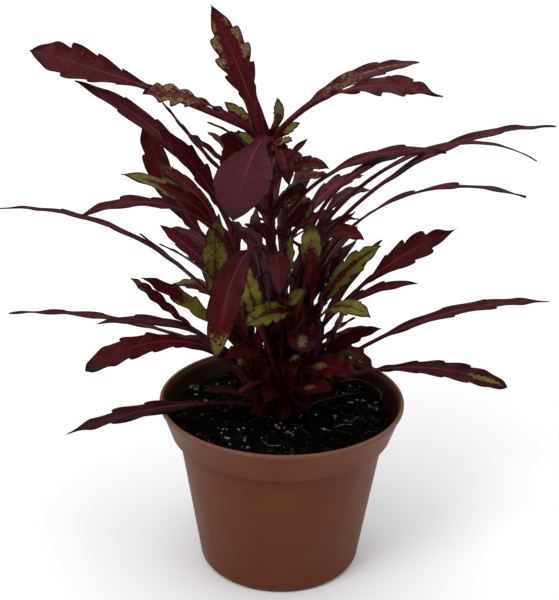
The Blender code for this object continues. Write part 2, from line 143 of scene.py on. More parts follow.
def addPiece(name, surface, finish, node=None):
    mesh = meshOf(name, surface)
    mesh.polygons.foreach_set("use_smooth", np.ones(len(mesh.polygons), bool))
    for valueName, numbers in surface["values"].items():
        layer = mesh.attributes.new(valueName, "FLOAT", "POINT")
        layer.data.foreach_set("value", numbers.astype(np.float32))
    mesh.materials.append(finish)
    mesh.update()
    piece = addObject(name, mesh)
    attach(piece, "root")
    if node:
        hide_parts(node)
    print(name, 2 * len(surface["quads"]) + len(surface["fans"]), "triangles")
    return piece


# Small helpers for materials

class Wire:
    # One output of a node. A sum, difference or product of wires and numbers adds the node that works it out.
    def __init__(self, tree, socket):
        self.tree, self.socket = tree, socket

    def __add__(self, other):
        return calc("ADD", self, other)

    def __sub__(self, other):
        return calc("SUBTRACT", self, other)

    def __rsub__(self, other):
        return calc("SUBTRACT", other, self)

    def __mul__(self, other):
        return calc("MULTIPLY", self, other)


def feed(node, inputs):
    # Each socket takes a wire or a plain value, and a plain colour gets its alpha here
    for name, source in inputs.items():
        socket = node.inputs[name]
        if isinstance(source, Wire):
            source.tree.links.new(source.socket, socket)
        else:
            socket.default_value = (*source, 1.0) if socket.type == "RGBA" else source


def addNode(tree, kind, inputs, output, **settings):
    node = tree.nodes.new("ShaderNode" + kind)
    for name, value in settings.items():
        setattr(node, name, value)
    feed(node, inputs)
    return Wire(tree, node.outputs[output])


def calc(operation, first, second=0.0, clamp=False):
    tree = (first if isinstance(first, Wire) else second).tree
    return addNode(tree, "Math", {0: first, 1: second}, 0, operation=operation, use_clamp=clamp)


def span(value, low, high, toLow=0.0, toHigh=1.0):
    # A smooth step of a value between two limits
    inputs = {"Value": value, "From Min": low, "From Max": high, "To Min": toLow, "To Max": toHigh}
    return addNode(value.tree, "MapRange", inputs, "Result", interpolation_type="SMOOTHSTEP")


def blendColours(share, first, second):
    # From the first colour at 0 to the second at 1. Sockets 6 and 7 are the node's two colours.
    tree = next(source.tree for source in (share, first, second) if isinstance(source, Wire))
    return addNode(tree, "Mix", {0: share, 6: first, 7: second}, 2, data_type="RGBA")


def layered(colour, layers):
    # Colours laid over the first one in turn, each as far as its share says
    for share, over in layers:
        colour = blendColours(share, colour, over)
    return colour


def pointValue(place, name):
    return addNode(place.tree, "Attribute", {}, "Fac", attribute_name=name)


def stretched(place, stretch):
    return addNode(place.tree, "Mapping", {"Vector": place, "Scale": stretch}, "Vector")


def heightOf(place):
    return addNode(place.tree, "SeparateXYZ", {"Vector": place}, "Z")


def distanceTo(place, point=(0.0, 0.0, 0.0)):
    return addNode(place.tree, "VectorMath", {0: place, 1: point}, "Value", operation="DISTANCE")


def mottle(place, size, detail=3.0, roughness=0.55):
    # Cloudy noise whose patches are about that size, in metres
    inputs = {"Vector": place, "Scale": 1 / size, "Detail": detail, "Roughness": roughness}
    return addNode(place.tree, "TexNoise", inputs, "Fac")


def specks(place, size, radius):
    # 1 inside round specks set about that far apart, and 0 between them
    apart = addNode(place.tree, "TexVoronoi", {"Vector": place, "Scale": 1 / size}, "Distance")
    return span(apart, radius, radius * 0.6)


def thinLines(phase, width):
    # 1 where the phase is halfway between two whole numbers, fading out that far on both sides
    return span(calc("ABSOLUTE", calc("FRACT", phase) - 0.5), width, 0.0)


def bump(height, depth, strength):
    inputs = {"Height": height, "Distance": depth, "Strength": strength}
    return addNode(height.tree, "Bump", inputs, "Normal")


def newFinish(name):
    # A material, the wire that carries its Object coordinates, and its shader
    finish = bpy.data.materials.new(name)
    finish.use_nodes = True
    tree = finish.node_tree
    return finish, addNode(tree, "TexCoord", {}, "Object"), tree.nodes["Principled BSDF"]


# Camera, lights and floor: a white studio, seen as the photograph sees it

studio = {
    "cameraPlace": (-0.0018, -0.4864, 0.3224),
    "cameraDown": 21.9,
    "cameraRoll": 1.0,
    "lens": 72,
    "lightsAim": (0.0, 0.0, 0.12),
    "worldColour": (0.95, 0.97, 1.0),
    "worldStrength": 0.12,
    # area lights: place, size in metres, power in watts
    "lights": {
        "ceiling": ((0.0, 0.6, 4.0), 8.0, 330.0),
        "key": ((-0.6, -0.7, 1.1), 0.5, 6.5),
        "fill": ((0.9, -0.4, 0.6), 0.6, 1.5),
    },
    "floorSize": 60.0,
    "floorColours": ((0.9, 0.9, 0.9), (0.873, 0.873, 0.873)),
    # the floor's own light grows between two distances from the pot, up to a strength
    "glows": [(0.10, 0.6, 0.09), (1.5, 5.0, 0.85)],
}


def aimedLight(name, place, size, power):
    lamp = bpy.data.lights.new(name, "AREA")
    lamp.size = size
    lamp.energy = power
    holder = addObject(name, lamp)
    holder.location = place
    toPlant = Vector(studio["lightsAim"]) - Vector(place)
    holder.rotation_euler = toPlant.to_track_quat("-Z", "Y").to_euler()


def makeStudio():
    scene = bpy.context.scene
    lens = bpy.data.cameras.new("camera")
    lens.lens = studio["lens"]
    lens.sensor_width = 36
    lens.clip_start = 0.01
    camera = addObject("camera", lens)
    down = Matrix.Rotation(math.radians(90 - studio["cameraDown"]), 4, "X")
    roll = Matrix.Rotation(math.radians(studio["cameraRoll"]), 4, "Z")
    camera.matrix_world = Matrix.Translation(studio["cameraPlace"]) @ down @ roll
    scene.camera = camera
    scene.view_settings.view_transform = "Standard"
    scene.world = bpy.data.worlds.new("studio")
    scene.world.use_nodes = True
    sky = {"Color": studio["worldColour"], "Strength": studio["worldStrength"]}
    feed(scene.world.node_tree.nodes["Background"], sky)
    for name, (place, size, power) in studio["lights"].items():
        aimedLight(name, place, size, power)

    half = studio["floorSize"] / 2
    mesh = bpy.data.meshes.new("floor")
    corners = [(-half, -half, 0), (half, -half, 0), (half, half, 0), (-half, half, 0)]
    mesh.from_pydata(corners, [], [(0, 1, 2, 3)])
    finish, place, shader = newFinish("floor_paper")
    near, far = [span(distanceTo(place), start, end, 0.0, most) for start, end, most in studio["glows"]]
    feed(shader, {
        "Base Color": blendColours(mottle(place, 0.4), *studio["floorColours"]), "Roughness": 0.9,
        "Specular IOR Level": 0.1, "Emission Color": (1.0, 1.0, 1.0), "Emission Strength": near + far,
    })
    mesh.materials.append(finish)
    floor = addObject("floor", mesh)
    print("studio done")


# Pot: moulded plastic, turned round Z

pot = {
    "height": 80 * mm,
    "rimRadius": 55 * mm,
    "bandRadius": 50.0 * mm,
    "bandHeight": 65 * mm,
    "bodyRadius": 46.7 * mm,
    "baseRadius": 36.5 * mm,
    "corner": 3 * mm,
    "wall": 1.5 * mm,
    "floor": 2 * mm,
    "lipHeight": 1.6 * mm,
    "lipProud": 0.7 * mm,
    "lipRound": 0.35 * mm,
    "bandRound": 0.35 * mm,
    "sides": 180,
    "drainHoles": 6,
    "drainRadius": 3.5 * mm,
    "drainRing": 25 * mm,
    "drainSides": 32,
    # a short dark slit under the band and three specks: place, half height, length over height
    "marks": [
        ((-2.5 * mm, -46.2 * mm, 62.2 * mm), 0.55 * mm, 4.5),
        ((-29.1 * mm, -35.6 * mm, 60.5 * mm), 0.65 * mm, 1.1),
        ((36.7 * mm, -21.6 * mm, 38.9 * mm), 0.65 * mm, 1.0),
        ((14.6 * mm, -41.5 * mm, 47.6 * mm), 0.6 * mm, 1.2),
    ],
    # heights over which the painted shade inside the band fades in and out, and the lip's pale scuffs and
    # painted highlight fade in
    "insideFoot": (69.5 * mm, 70.5 * mm),
    "insideTop": (79.5 * mm, 76.5 * mm),
    "scuffsAndHighlight": (78.2 * mm, 79.5 * mm),
    "colours": {
        "dull": (0.121, 0.0285, 0.0072), "bright": (0.134, 0.0335, 0.0098), "cloud": (0.123, 0.0335, 0.0108),
        "inside": (0.022, 0.0050, 0.0030), "scuffAndHighlight": (0.27, 0.17, 0.13), "dirt": (0.03, 0.015, 0.01),
        "mark": (0.010, 0.003, 0.002),
    },
}


def quarterTurn(centre, radius, fromAngle, steps=5):
    # Points on a quarter circle that turns anticlockwise, as (radius, height)
    angles = np.radians(fromAngle + np.linspace(0, 90, steps))
    return [(centre[0] + radius * math.cos(a), centre[1] + radius * math.sin(a)) for a in angles]


def bodySlope():
    # How much the pot's body grows in radius for each unit of height
    return (pot["bodyRadius"] - pot["baseRadius"]) / pot["bandHeight"]


def potProfile():
    # Runs up the outside from the base, over the lip, and down the inside to the floor, as (radius, height)
    rim, band, body = pot["rimRadius"], pot["bandRadius"], pot["bodyRadius"]
    bandHeight, floor, wall, corner = pot["bandHeight"], pot["floor"], pot["wall"], pot["corner"]
    lipRound, bandRound = pot["lipRound"], pot["bandRound"]
    lip = rim - pot["lipProud"]
    cornerTop = pot["baseRadius"] + bodySlope() * corner
    top, lipFoot = pot["height"] - lipRound, pot["height"] - pot["lipHeight"]
    return [
        *quarterTurn((cornerTop - corner, corner), corner, 270, 9),
        (body, bandHeight - bandRound),
        *quarterTurn((band - bandRound, bandHeight + bandRound), bandRound, 270),
        (lip, lipFoot - 2 * lipRound),
        *quarterTurn((rim - lipRound, lipFoot), lipRound, 270),
        *quarterTurn((rim - lipRound, top), lipRound, 0),
        *quarterTurn((rim - wall + lipRound, top), lipRound, 90),
        (rim - wall, lipFoot + pot["lipProud"]), (lip - wall, lipFoot),
        (band - wall, bandHeight + wall), (body - wall, bandHeight + wall / 2),
        (cornerTop - wall, floor + corner), (pot["baseRadius"] - wall - corner, floor),
    ]


def bandLean():
    # How much the inside of the band grows in radius for each unit of height
    rise = pot["height"] - pot["lipHeight"] - pot["bandHeight"] - pot["wall"]
    return (pot["rimRadius"] - pot["lipProud"] - pot["bandRadius"]) / rise


def potMarks(place):
    # Dark where the distance to a mark's place, with X divided by its length, is less than its half height
    share = 0.0
    for (x, y, z), halfHeight, length in pot["marks"]:
        distance = distanceTo(stretched(place, (1 / length, 1.0, 1.0)), (x / length, y, z))
        share = calc("MAXIMUM", span(distance, halfHeight, 0.4 * halfHeight), share)
    return share


def potFinish():
    finish, place, shader = newFinish("pot_plastic")
    colours = pot["colours"]
    flow = mottle(stretched(place, (1.0, 1.0, 0.12)), 9 * mm, 3)
    cloud = mottle(place, 25 * mm, 2)
    grain = mottle(place, 0.5 * mm, 2)
    height = heightOf(place)
    # the inside of the band gets painted shade, where the leaves shade it: it lies within the wall's middle,
    # whose radius grows with the height
    middle = (height - pot["bandHeight"]) * bandLean() + (pot["bandRadius"] - pot["wall"] / 2)
    inside = span(middle - distanceTo(stretched(place, (1.0, 1.0, 0.0))), 0.0, 0.2 * mm)
    plain = blendColours(span(flow, 0.35, 0.65), colours["dull"], colours["bright"])
    colour = layered(plain, [
        (span(cloud, 0.4, 0.7), colours["cloud"]),
        # painted shade: the inside of the band, between the soil and the lip, darkened for the leaves' shadow
        (inside * span(height, *pot["insideTop"]) * span(height, *pot["insideFoot"]), colours["inside"]),
        # pale scuffs on the lip, partly real wear and partly a painted highlight on its rounded edge
        (span(height, *pot["scuffsAndHighlight"]) * span(grain, 0.3, 0.7) * 0.55, colours["scuffAndHighlight"]),
        (specks(place, 17 * mm, 0.035) * 0.7, colours["dirt"]),
        (potMarks(place) * 0.85, colours["mark"]),
    ])
    feed(shader, {
        "Base Color": colour, "Roughness": span(cloud, 0.2, 0.8, 0.40, 0.52), "Specular IOR Level": 0.13,
        "Normal": bump(grain * 0.25 + flow, 0.06 * mm, 0.6),
    })
    return finish


def drainDrills():
    # A bar through the floor for each hole, in a collection of their own
    drills = bpy.data.collections.new("drain_drills")
    turn = fullTurn(pot["drainSides"])
    circle = np.stack([np.cos(turn), np.sin(turn), 0 * turn], axis=-1) * pot["drainRadius"]
    ends = np.array([-pot["floor"], 2 * pot["floor"]])[:, None, None] * np.array([0, 0, 1])
    for angle in 2 * math.pi * (np.arange(pot["drainHoles"]) + 0.5) / pot["drainHoles"]:
        centre = np.array([math.cos(angle), math.sin(angle), 0.0]) * pot["drainRing"]
        drill = meshOf("drill", loftedTube(centre + circle + ends))
        drills.objects.link(bpy.data.objects.new("drill", drill))
    return drills


def makePot():
    radii, heights = np.array(potProfile()).T
    surface = loftedTube(turnedRings(radii, heights, fullTurn(pot["sides"])))
    piece = addPiece("pot_shell", surface, potFinish(), "pot")
    mesh = piece.data
    drills = drainDrills()
    cut = piece.modifiers.new("Drain holes", "BOOLEAN")
    cut.operation = "DIFFERENCE"
    cut.operand_type = "COLLECTION"
    cut.collection = drills
    graph = bpy.context.evaluated_depsgraph_get()
    drilled = bpy.data.meshes.new_from_object(piece.evaluated_get(graph))
    piece.modifiers.clear()
    piece.data = drilled
    drilled.name = "pot_shell"
    bpy.data.meshes.remove(mesh)
    for drill in list(drills.objects):
        bpy.data.objects.remove(drill)
    bpy.data.collections.remove(drills)
    drilled.set_sharp_from_angle(angle=math.radians(40))
    print("pot done")


# Soil: crumbs heaped in a low mound, in the pot up to its band

soil = {
    "edgeHeight": 70.5 * mm,
    "mound": 1.5 * mm,
    "lump": 0.7 * mm,
    "wavesX": 310,
    "wavesY": 270,
    "shiftX": 1.3,
    "shiftY": 0.4,
    "slantX": 520,
    "slantY": -430,
    "slantShare": 0.6,
    "levelEdge": 4 * mm,
    "gap": 0.3 * mm,
    "around": 470,
    "rings": 120,
    "innermost": 0.006,
    # clods, crumbs and grains: the size of their cells, the share of their height and their seed
    "heaps": [(5.2 * mm, 0.42, 3), (2.3 * mm, 0.6, 11), (1.2 * mm, 0.5, 23)],
    "sunk": 0.9 * mm,
    "colours": {
        "dark": (0.0007, 0.0005, 0.0004), "light": (0.0030, 0.0020, 0.0012),
        "fibre": (0.018, 0.012, 0.007), "grit": (0.07, 0.066, 0.055),
    },
}


def crumbs(x, y, size, seed):
    # Half balls in a square grid of cells, each moved and sized at random: the highest one over each place
    column, row = np.floor(x / size), np.floor(y / size)
    highest = np.zeros_like(x)
    for right in (-1, 0, 1):
        for up in (-1, 0, 1):
            across, along = column + right, row + up
            centreX = (across + 0.15 + 0.7 * unitNoise(across, along, seed)) * size
            centreY = (along + 0.15 + 0.7 * unitNoise(across, along, seed + 1)) * size
            radius = size * (0.25 + 0.45 * unitNoise(across, along, seed + 2))
            apart = ((x - centreX) ** 2 + (y - centreY) ** 2) / radius ** 2
            highest = np.maximum(highest, radius * np.sqrt(np.clip(1 - apart, 0, None)))
    return highest


def soilEdge():
    # The inside of the band's wall at the height of the soil's edge, less the gap
    climb = soil["edgeHeight"] - pot["bandHeight"] - pot["wall"]
    return pot["bandRadius"] + bandLean() * climb - pot["wall"] - soil["gap"]


def soilHeight(x, y):
    # The solid's mound and waves, level at the edge, with clods, crumbs and grains heaped on it
    x, y = np.asarray(x, float), np.asarray(y, float)
    edge = soilEdge()
    radius = np.hypot(x, y)
    waves = np.sin(soil["wavesX"] * x + soil["shiftX"]) * np.sin(soil["wavesY"] * y + soil["shiftY"])
    waves = waves + soil["slantShare"] * np.sin(soil["slantX"] * x + soil["slantY"] * y)
    inner = smoothStep((edge - radius) / soil["levelEdge"])
    height = soil["mound"] * np.clip(1 - (radius / edge) ** 2, 0, 1)
    height = height + inner * soil["lump"] * waves / (1 + soil["slantShare"])
    for size, share, seed in soil["heaps"]:
        height = height + share * crumbs(x, y, size, seed)
    return soil["edgeHeight"] + (height - soil["sunk"])


def soilFinish():
    finish, place, shader = newFinish("potting_soil")
    colours = soil["colours"]
    grain = mottle(place, 0.5 * mm, 4, 0.7)
    fibre = mottle(stretched(place, (1.0, 0.16, 0.4)), 0.5 * mm, 2)
    plain = blendColours(span(mottle(place, 6 * mm, 3), 0.3, 0.7), colours["dark"], colours["light"])
    colour = layered(plain, [
        (span(fibre, 0.66, 0.74), colours["fibre"]),
        (specks(place, 2.6 * mm, 0.11) * 0.5, colours["grit"]),
    ])
    feed(shader, {
        "Base Color": colour, "Roughness": span(grain, 0.3, 0.7, 0.55, 0.95), "Specular IOR Level": 0.02,
        "Normal": bump(grain, 0.35 * mm, 0.9),
    })
    return finish


def makeSoil():
    # Rings from the middle of the base, up the sides that fill the pot, and in over the top to its middle
    inset = pot["wall"] + soil["gap"]
    shoulder = pot["bandHeight"] + pot["wall"] / 2 + soil["gap"]
    corner = pot["corner"]
    below = [
        (pot["baseRadius"] - inset - corner, pot["floor"] + soil["gap"]),
        (pot["baseRadius"] + bodySlope() * corner - inset, pot["floor"] + corner + soil["gap"]),
        (pot["bodyRadius"] - inset, shoulder),
        (pot["bandRadius"] - inset, shoulder + pot["wall"] / 2),
    ]
    angles = fullTurn(soil["around"])
    radii = soilEdge() * np.linspace(1.0, soil["innermost"], soil["rings"])
    top = turnedRings(radii, 0 * radii, angles)
    top[..., 2] = soilHeight(top[..., 0], top[..., 1])
    surface = loftedTube(np.vstack([turnedRings(*np.array(below).T, angles), top]))
    addPiece("soil_bed", surface, soilFinish(), "soil")
    print("soil done")


# Litter on the soil: perlite, bark, fibres, twigs, a small sprout and the curled dead stem

litter = {
    "seed": 12,
    "perliteCount": 70,
    "perliteSize": (0.35 * mm, 0.9 * mm),
    "chipCount": 300,
    "chipSize": (0.5 * mm, 1.5 * mm),
    "fibreCount": 38,
    # length, heading, bend, lift and radius, in mm and degrees
    "fibreLimits": [(3, 9), (0, 360), (-90, 90), (0.1, 0.7), (0.06, 0.13)],
    "lumpAround": 9,
    "lumpRings": 6,
    "ring": (7.0, 48.3),  # radii between which the scattered ones lie, in mm
    "chipRing": (5.0, 49.0),
    "threadReach": 48.8 * mm,
    "paints": {  # dark and light colour, and the size of the mottling
        "perlite": ((0.045, 0.042, 0.034), (0.30, 0.30, 0.27), 0.9 * mm),
        "bark_chips": ((0.0016, 0.0012, 0.0009), (0.0075, 0.0048, 0.0030), 3 * mm),
        "pale_fibres": ((0.018, 0.014, 0.010), (0.16, 0.145, 0.115), 4 * mm),
        "twigs": ((0.030, 0.012, 0.010), (0.075, 0.035, 0.030), 5 * mm),
        "sprout": ((0.020, 0.030, 0.008), (0.085, 0.115, 0.045), 0.8 * mm),
    },
    # the larger crumbs that stand out: (x, y, radius) in mm
    "named": [
        (-40.0, 22.0, 1.9), (-42.5, 24.5, 1.4), (-39.5, 18.0, 1.3), (-24.8, -17.6, 1.3), (-18.2, -18.3, 1.5),
        (-17.4, -15.5, 1.1), (-23.6, -24.0, 1.4), (-15.7, -26.4, 1.7), (-1.9, -15.8, 1.9), (4.3, -22.1, 1.5),
        (2.6, -20.3, 1.3), (0.0, -10.0, 1.0), (31.7, 11.9, 1.8), (41.0, 9.5, 1.5), (43.5, 3.0, 1.3),
        (41.8, -3.7, 1.6), (24.2, -3.4, 1.3), (29.0, -7.1, 1.4), (19.3, -16.9, 1.4), (35.0, 14.0, 1.2),
        (38.0, 16.0, 1.4), (8.4, -3.5, 1.2), (-35.1, 12.0, 1.1), (30.0, 22.0, 1.6), (44.0, 12.5, 1.2),
    ],
    # pale threads on the soil: (x, y, heading, length, bend) in mm and degrees
    "threads": [
        (-8.3, -28.8, -30, 9, 40), (29.0, -7.5, 5, 7, 60), (17.0, -14.0, -25, 6, 20), (24.0, -12.0, 5, 8, 15),
    ],
    # the curled dead stem inside the rim: places in mm
    "curl": [
        (27, 29, 73.5), (33, 28, 75.5), (39, 24.5, 76.5),
        (44, 18.5, 76), (46.5, 13.5, 75), (45.5, 11.5, 73.5),
    ],
    "sprout": [
        (-42.0, 26.0, 1.0), (-40.6, 27.2, 0.8), (-43.0, 24.2, 0.7), (-41.2, 24.8, 0.9), (-39.6, 25.4, 0.6),
    ],
    "twigs": [(-17.2, 20.4, -65, 26, 10), (12.0, 6.0, 40, 24, -20), (-30.0, 4.0, 20, 18, 15)],
}


def crumbSurface(place, size, draw, flat):
    # A ball of rings from pole to pole whose radius swells and dips by two seeded waves
    polar = np.linspace(0.12, math.pi - 0.12, litter["lumpRings"])[:, None]
    turn = fullTurn(litter["lumpAround"])[None, :]
    dents = 1 + 0.22 * np.sin(2 * turn + draw.uniform(0, 6)) * np.sin(polar * 2 + draw.uniform(0, 6))
    dents = dents + 0.16 * np.sin(3 * turn + 2 * polar + draw.uniform(0, 6))
    stretch = np.array([draw.uniform(0.8, 1.6), draw.uniform(0.55, 1.1), flat])
    ball = [np.sin(polar) * np.cos(turn), np.sin(polar) * np.sin(turn), -np.cos(polar) + 0 * turn]
    ball = np.stack(ball, axis=-1) * dents[..., None] * stretch * size
    angle = draw.uniform(0, 2 * math.pi)
    cos, sin = math.cos(angle), math.sin(angle)
    spin = np.array([[cos, -sin, 0], [sin, cos, 0], [0, 0, 1]])
    return loftedTube(ball @ spin.T + np.asarray(place))


def crumbOnSoil(x, y, size, lift, draw, flat=0.8):
    return crumbSurface((x, y, float(soilHeight(x, y)) + lift), size, draw, flat)


def tubeSurface(path, radii, around=7):
    # A round profile carried along a path of points, its up side kept as near to +Z as the path allows
    along = np.gradient(path, axis=0)
    along /= np.linalg.norm(along, axis=1, keepdims=True)
    right = np.cross(along, np.array([0.0, 0.0, 1.0]))
    steep = np.linalg.norm(right, axis=1, keepdims=True) < 1e-6
    right = np.where(steep, np.array([1.0, 0.0, 0.0]), right)
    right /= np.linalg.norm(right, axis=1, keepdims=True)
    radius = np.broadcast_to(radii, len(path))[:, None]
    return loftedTube(ringsAlong(path, np.cross(right, along), right, fullTurn(around), radius))


def threadPath(x, y, heading, length, bend, lift):
    # A level arc that turns evenly by its bend, laid on the soil a little above it
    share = np.linspace(0, 1, 12)
    angle = np.radians(heading + bend * share)
    step = length / (len(share) - 1)
    px = x + np.concatenate([[0], np.cumsum(np.cos(angle[:-1]) * step)])
    py = y + np.concatenate([[0], np.cumsum(np.sin(angle[:-1]) * step)])
    far = np.maximum(np.hypot(px, py) / litter["threadReach"], 1)
    px, py = px / far, py / far
    ground = np.convolve(np.pad(soilHeight(px, py), 2, mode="edge"), np.ones(5) / 5, mode="valid")
    return np.stack([px, py, ground + lift], axis=-1)


def paleFinish(name, dark, light, size):
    finish, place, shader = newFinish(name)
    cloud = mottle(place, size, 3)
    grain = mottle(place, 0.25 * mm, 3, 0.7)
    feed(shader, {
        "Base Color": blendColours(span(cloud, 0.35, 0.65), dark, light), "Specular IOR Level": 0.1,
        "Roughness": span(grain, 0.3, 0.7, 0.6, 0.9), "Normal": bump(grain, 0.15 * mm, 0.8),
    })
    return finish


def scatteredPlace(draw, ring):
    # Even over the ring of soil between two radii
    radius = math.sqrt(draw.uniform(ring[0] ** 2, ring[1] ** 2)) * mm
    angle = draw.uniform(0, 2 * math.pi)
    return radius * math.cos(angle), radius * math.sin(angle)


def curlPath():
    # The curled stem's listed places, with many more between them, smoothed three times
    path = np.array(litter["curl"]) * mm
    knots, fine = np.linspace(0, 1, len(path)), np.linspace(0, 1, 40)
    path = np.stack([np.interp(fine, knots, path[:, i]) for i in range(3)], axis=1)
    for _ in range(3):
        path[1:-1] = (path[:-2] + path[1:-1] + path[2:]) / 3
    return path, (0.75 + 0.3 * np.sin(9 * fine)) * mm * (1 - 0.5 * fine)


def makeLitter():
    draw = random.Random(litter["seed"])
    perlite = []
    for x, y, size in litter["named"]:  # three grains near each place
        for _ in range(3):
            near = [(centre + draw.uniform(-0.6, 0.6) * size) * mm for centre in (x, y)]
            part = size * draw.uniform(0.28, 0.52) * mm
            perlite.append(crumbOnSoil(*near, part, 0.3 * part, draw))
    for _ in range(litter["perliteCount"]):
        place = scatteredPlace(draw, litter["ring"])
        size = draw.uniform(*litter["perliteSize"]) * draw.uniform(0.5, 1)
        perlite.append(crumbOnSoil(*place, size, 0.3 * size, draw))
    chips = []
    for _ in range(litter["chipCount"]):
        place = scatteredPlace(draw, litter["chipRing"])
        size = draw.uniform(*litter["chipSize"])
        chips.append(crumbOnSoil(*place, size, 0.1 * size, draw, 0.45))
    fibres = []
    for x, y, heading, length, bend in litter["threads"]:
        path = threadPath(x * mm, y * mm, heading, length * mm, bend, 0.5 * mm)
        fibres.append(tubeSurface(path, 0.22 * mm * np.sin(np.linspace(0.5, 2.7, len(path))) + 0.06 * mm))
    for _ in range(litter["fibreCount"]):
        place = scatteredPlace(draw, litter["ring"])
        length, heading, bend, lift, radius = [draw.uniform(*limits) for limits in litter["fibreLimits"]]
        fibres.append(tubeSurface(threadPath(*place, heading, length * mm, bend, lift * mm), radius * mm, 5))
    twigs = []
    for x, y, heading, length, bend in litter["twigs"]:
        path = threadPath(x * mm, y * mm, heading, length * mm, bend, 1.2 * mm)
        twigs.append(tubeSurface(path, np.linspace(0.45, 0.25, len(path)) * mm))
    twigs.append(tubeSurface(*curlPath()))
    sprout = []
    for x, y, size in litter["sprout"]:
        sprout.append(crumbOnSoil(x * mm, y * mm, size * mm, 0.5 * mm, draw, 0.5))
    kinds = {"perlite": perlite, "bark_chips": chips, "pale_fibres": fibres, "twigs": twigs, "sprout": sprout}
    for name, surfaces in kinds.items():
        finish = paleFinish(name, *litter["paints"][name])
        addPiece(name, joinSurfaces(surfaces), finish)
    print("litter done")


# Stems: square, with rounded edges, a groove down each face and a swelling where leaves grow

stems = {
    "rows": {  # foot x and y in mm, heading, rise, bend, length in mm
        "main": (1, -2, 167, 84, -4, 134),
        "left": (-8, -2, 180, 76, -12, 94),
        "right": (9, 2, 66, 82, -8, 95),
        "back": (-1, 10, 87, 75, -12, 98),
    },
    "footHeight": 66 * mm,
    "depth": 16 * mm,
    "baseRadius": 3.6 * mm,
    "topRadius": 1.6 * mm,
    "rings": 130,
    "sunkRings": 8,
    "around": 32,
    "power": 5,
    "groove": 0.05,
    "swelling": 0.16,
    "swellingLength": 0.014,
    "closesFrom": 0.97,
    "closesOver": 0.031,
    "thinnest": 0.02,
    "values": {"ribDistance": 9.0, "rimDistance": 9.0, "limeField": -2.0, "topSide": 1.0},
}


def inPlane(turn, out, up):
    # Points of the upright plane that runs from Z towards a heading: so far out and so far up
    return np.stack([out * math.cos(turn), out * math.sin(turn), up], axis=1)


def arcFrames(start, heading, rise, bend, length, shares):
    # An arc in an upright plane whose direction turns down evenly by its bend. Each point lies a chord away
    # from the start. Also gives the direction along the arc, the level one across it, and its upward normal.
    shares = np.asarray(shares, float)
    turn = math.radians(heading)
    halfBend = np.radians(bend * shares / 2)
    chord = length * shares * np.sinc(halfBend / math.pi)
    chordRise = math.radians(rise) - halfBend
    points = inPlane(turn, chord * np.cos(chordRise), chord * np.sin(chordRise))
    tilt = math.radians(rise) - 2 * halfBend
    across = np.tile([math.sin(turn), -math.cos(turn), 0.0], (len(shares), 1))
    along, normal = inPlane(turn, np.cos(tilt), np.sin(tilt)), inPlane(turn, -np.sin(tilt), np.cos(tilt))
    return points + np.asarray(start), along, across, normal


def stemFrames(stem, shares):
    x, y, heading, rise, bend, length = stems["rows"][stem]
    return arcFrames((x * mm, y * mm, stems["footHeight"]), heading, rise, bend, length * mm, shares)


def stemRadius(share):
    return stems["baseRadius"] + (stems["topRadius"] - stems["baseRadius"]) * share


def stemSurface(stem, leafHeights):
    # A rounded square carried along the stem's arc, which tapers, swells at each leaf and closes at the top
    shares = np.linspace(0, 1, stems["rings"])
    points, along, across, normal = stemFrames(stem, shares)
    sunk = stems["sunkRings"]
    below = np.linspace(1, 0, sunk, endpoint=False)[:, None] * stems["depth"]
    points = np.vstack([points[0] - below * along[0], points])
    across, normal = [np.vstack([np.repeat(side[:1], sunk, axis=0), side]) for side in (across, normal)]
    share = np.concatenate([np.zeros(sunk), shares])
    apart = (share[:, None] - np.array(leafHeights)[None, :]) / stems["swellingLength"]
    radius = stemRadius(share) * (1 + stems["swelling"] * np.exp(-apart ** 2).max(axis=1))
    closing = np.clip((share - stems["closesFrom"]) / stems["closesOver"], 0, 1)
    radius = radius * np.sqrt(np.clip(1 - closing ** 2, stems["thinnest"], 1))
    turn = fullTurn(stems["around"])
    power = stems["power"]
    square = (np.abs(np.cos(turn)) ** power + np.abs(np.sin(turn)) ** power) ** (-1 / power)
    square = square / square.max() * (1 - stems["groove"] * (1 + np.cos(4 * turn)) / 2)
    rings = ringsAlong(points, normal, across, turn + math.pi / 4, radius[:, None] * square[None, :])
    return loftedTube(rings, stems["values"])


# Leaves: the rows and rules that set where each grows

leafForms = {  # stalk's share, swelling, narrowing, lobes on each side, depth of their notches, stalk's wings
    "strap": (0.30, 0.8, 0.9, 3, 0.14, 0.0),
    "paddle": (0.38, 2.2, 1.0, 4, 0.24, 0.2),
    "oar": (0.34, 1.1, 0.55, 4, 0.14, 0.0),
    "dart": (0.38, 2.2, 1.7, 4, 0.26, 0.0),
    "lance": (0.28, 1.2, 1.3, 4, 0.26, 0.38),
    "spear": (0.25, 1.1, 1.0, 4, 0.22, 0.0),
    "shield": (0.15, 1.1, 0.5, 5, 0.08, 0.0),
    "kite": (0.12, 1.6, 0.95, 5, 0.05, 0.30),
    "sprig": (0.20, 1.0, 1.0, 2, 0.20, 0.0),
    "stub": (1.0, 1.0, 1.0, 0, 0.0, 0.0),
    "shoot": (0.62, 1.1, 1.0, 3, 0.22, 0.3),
    "fore": (0.34, 1.0, 0.85, 4, 0.10, 0.0),
}

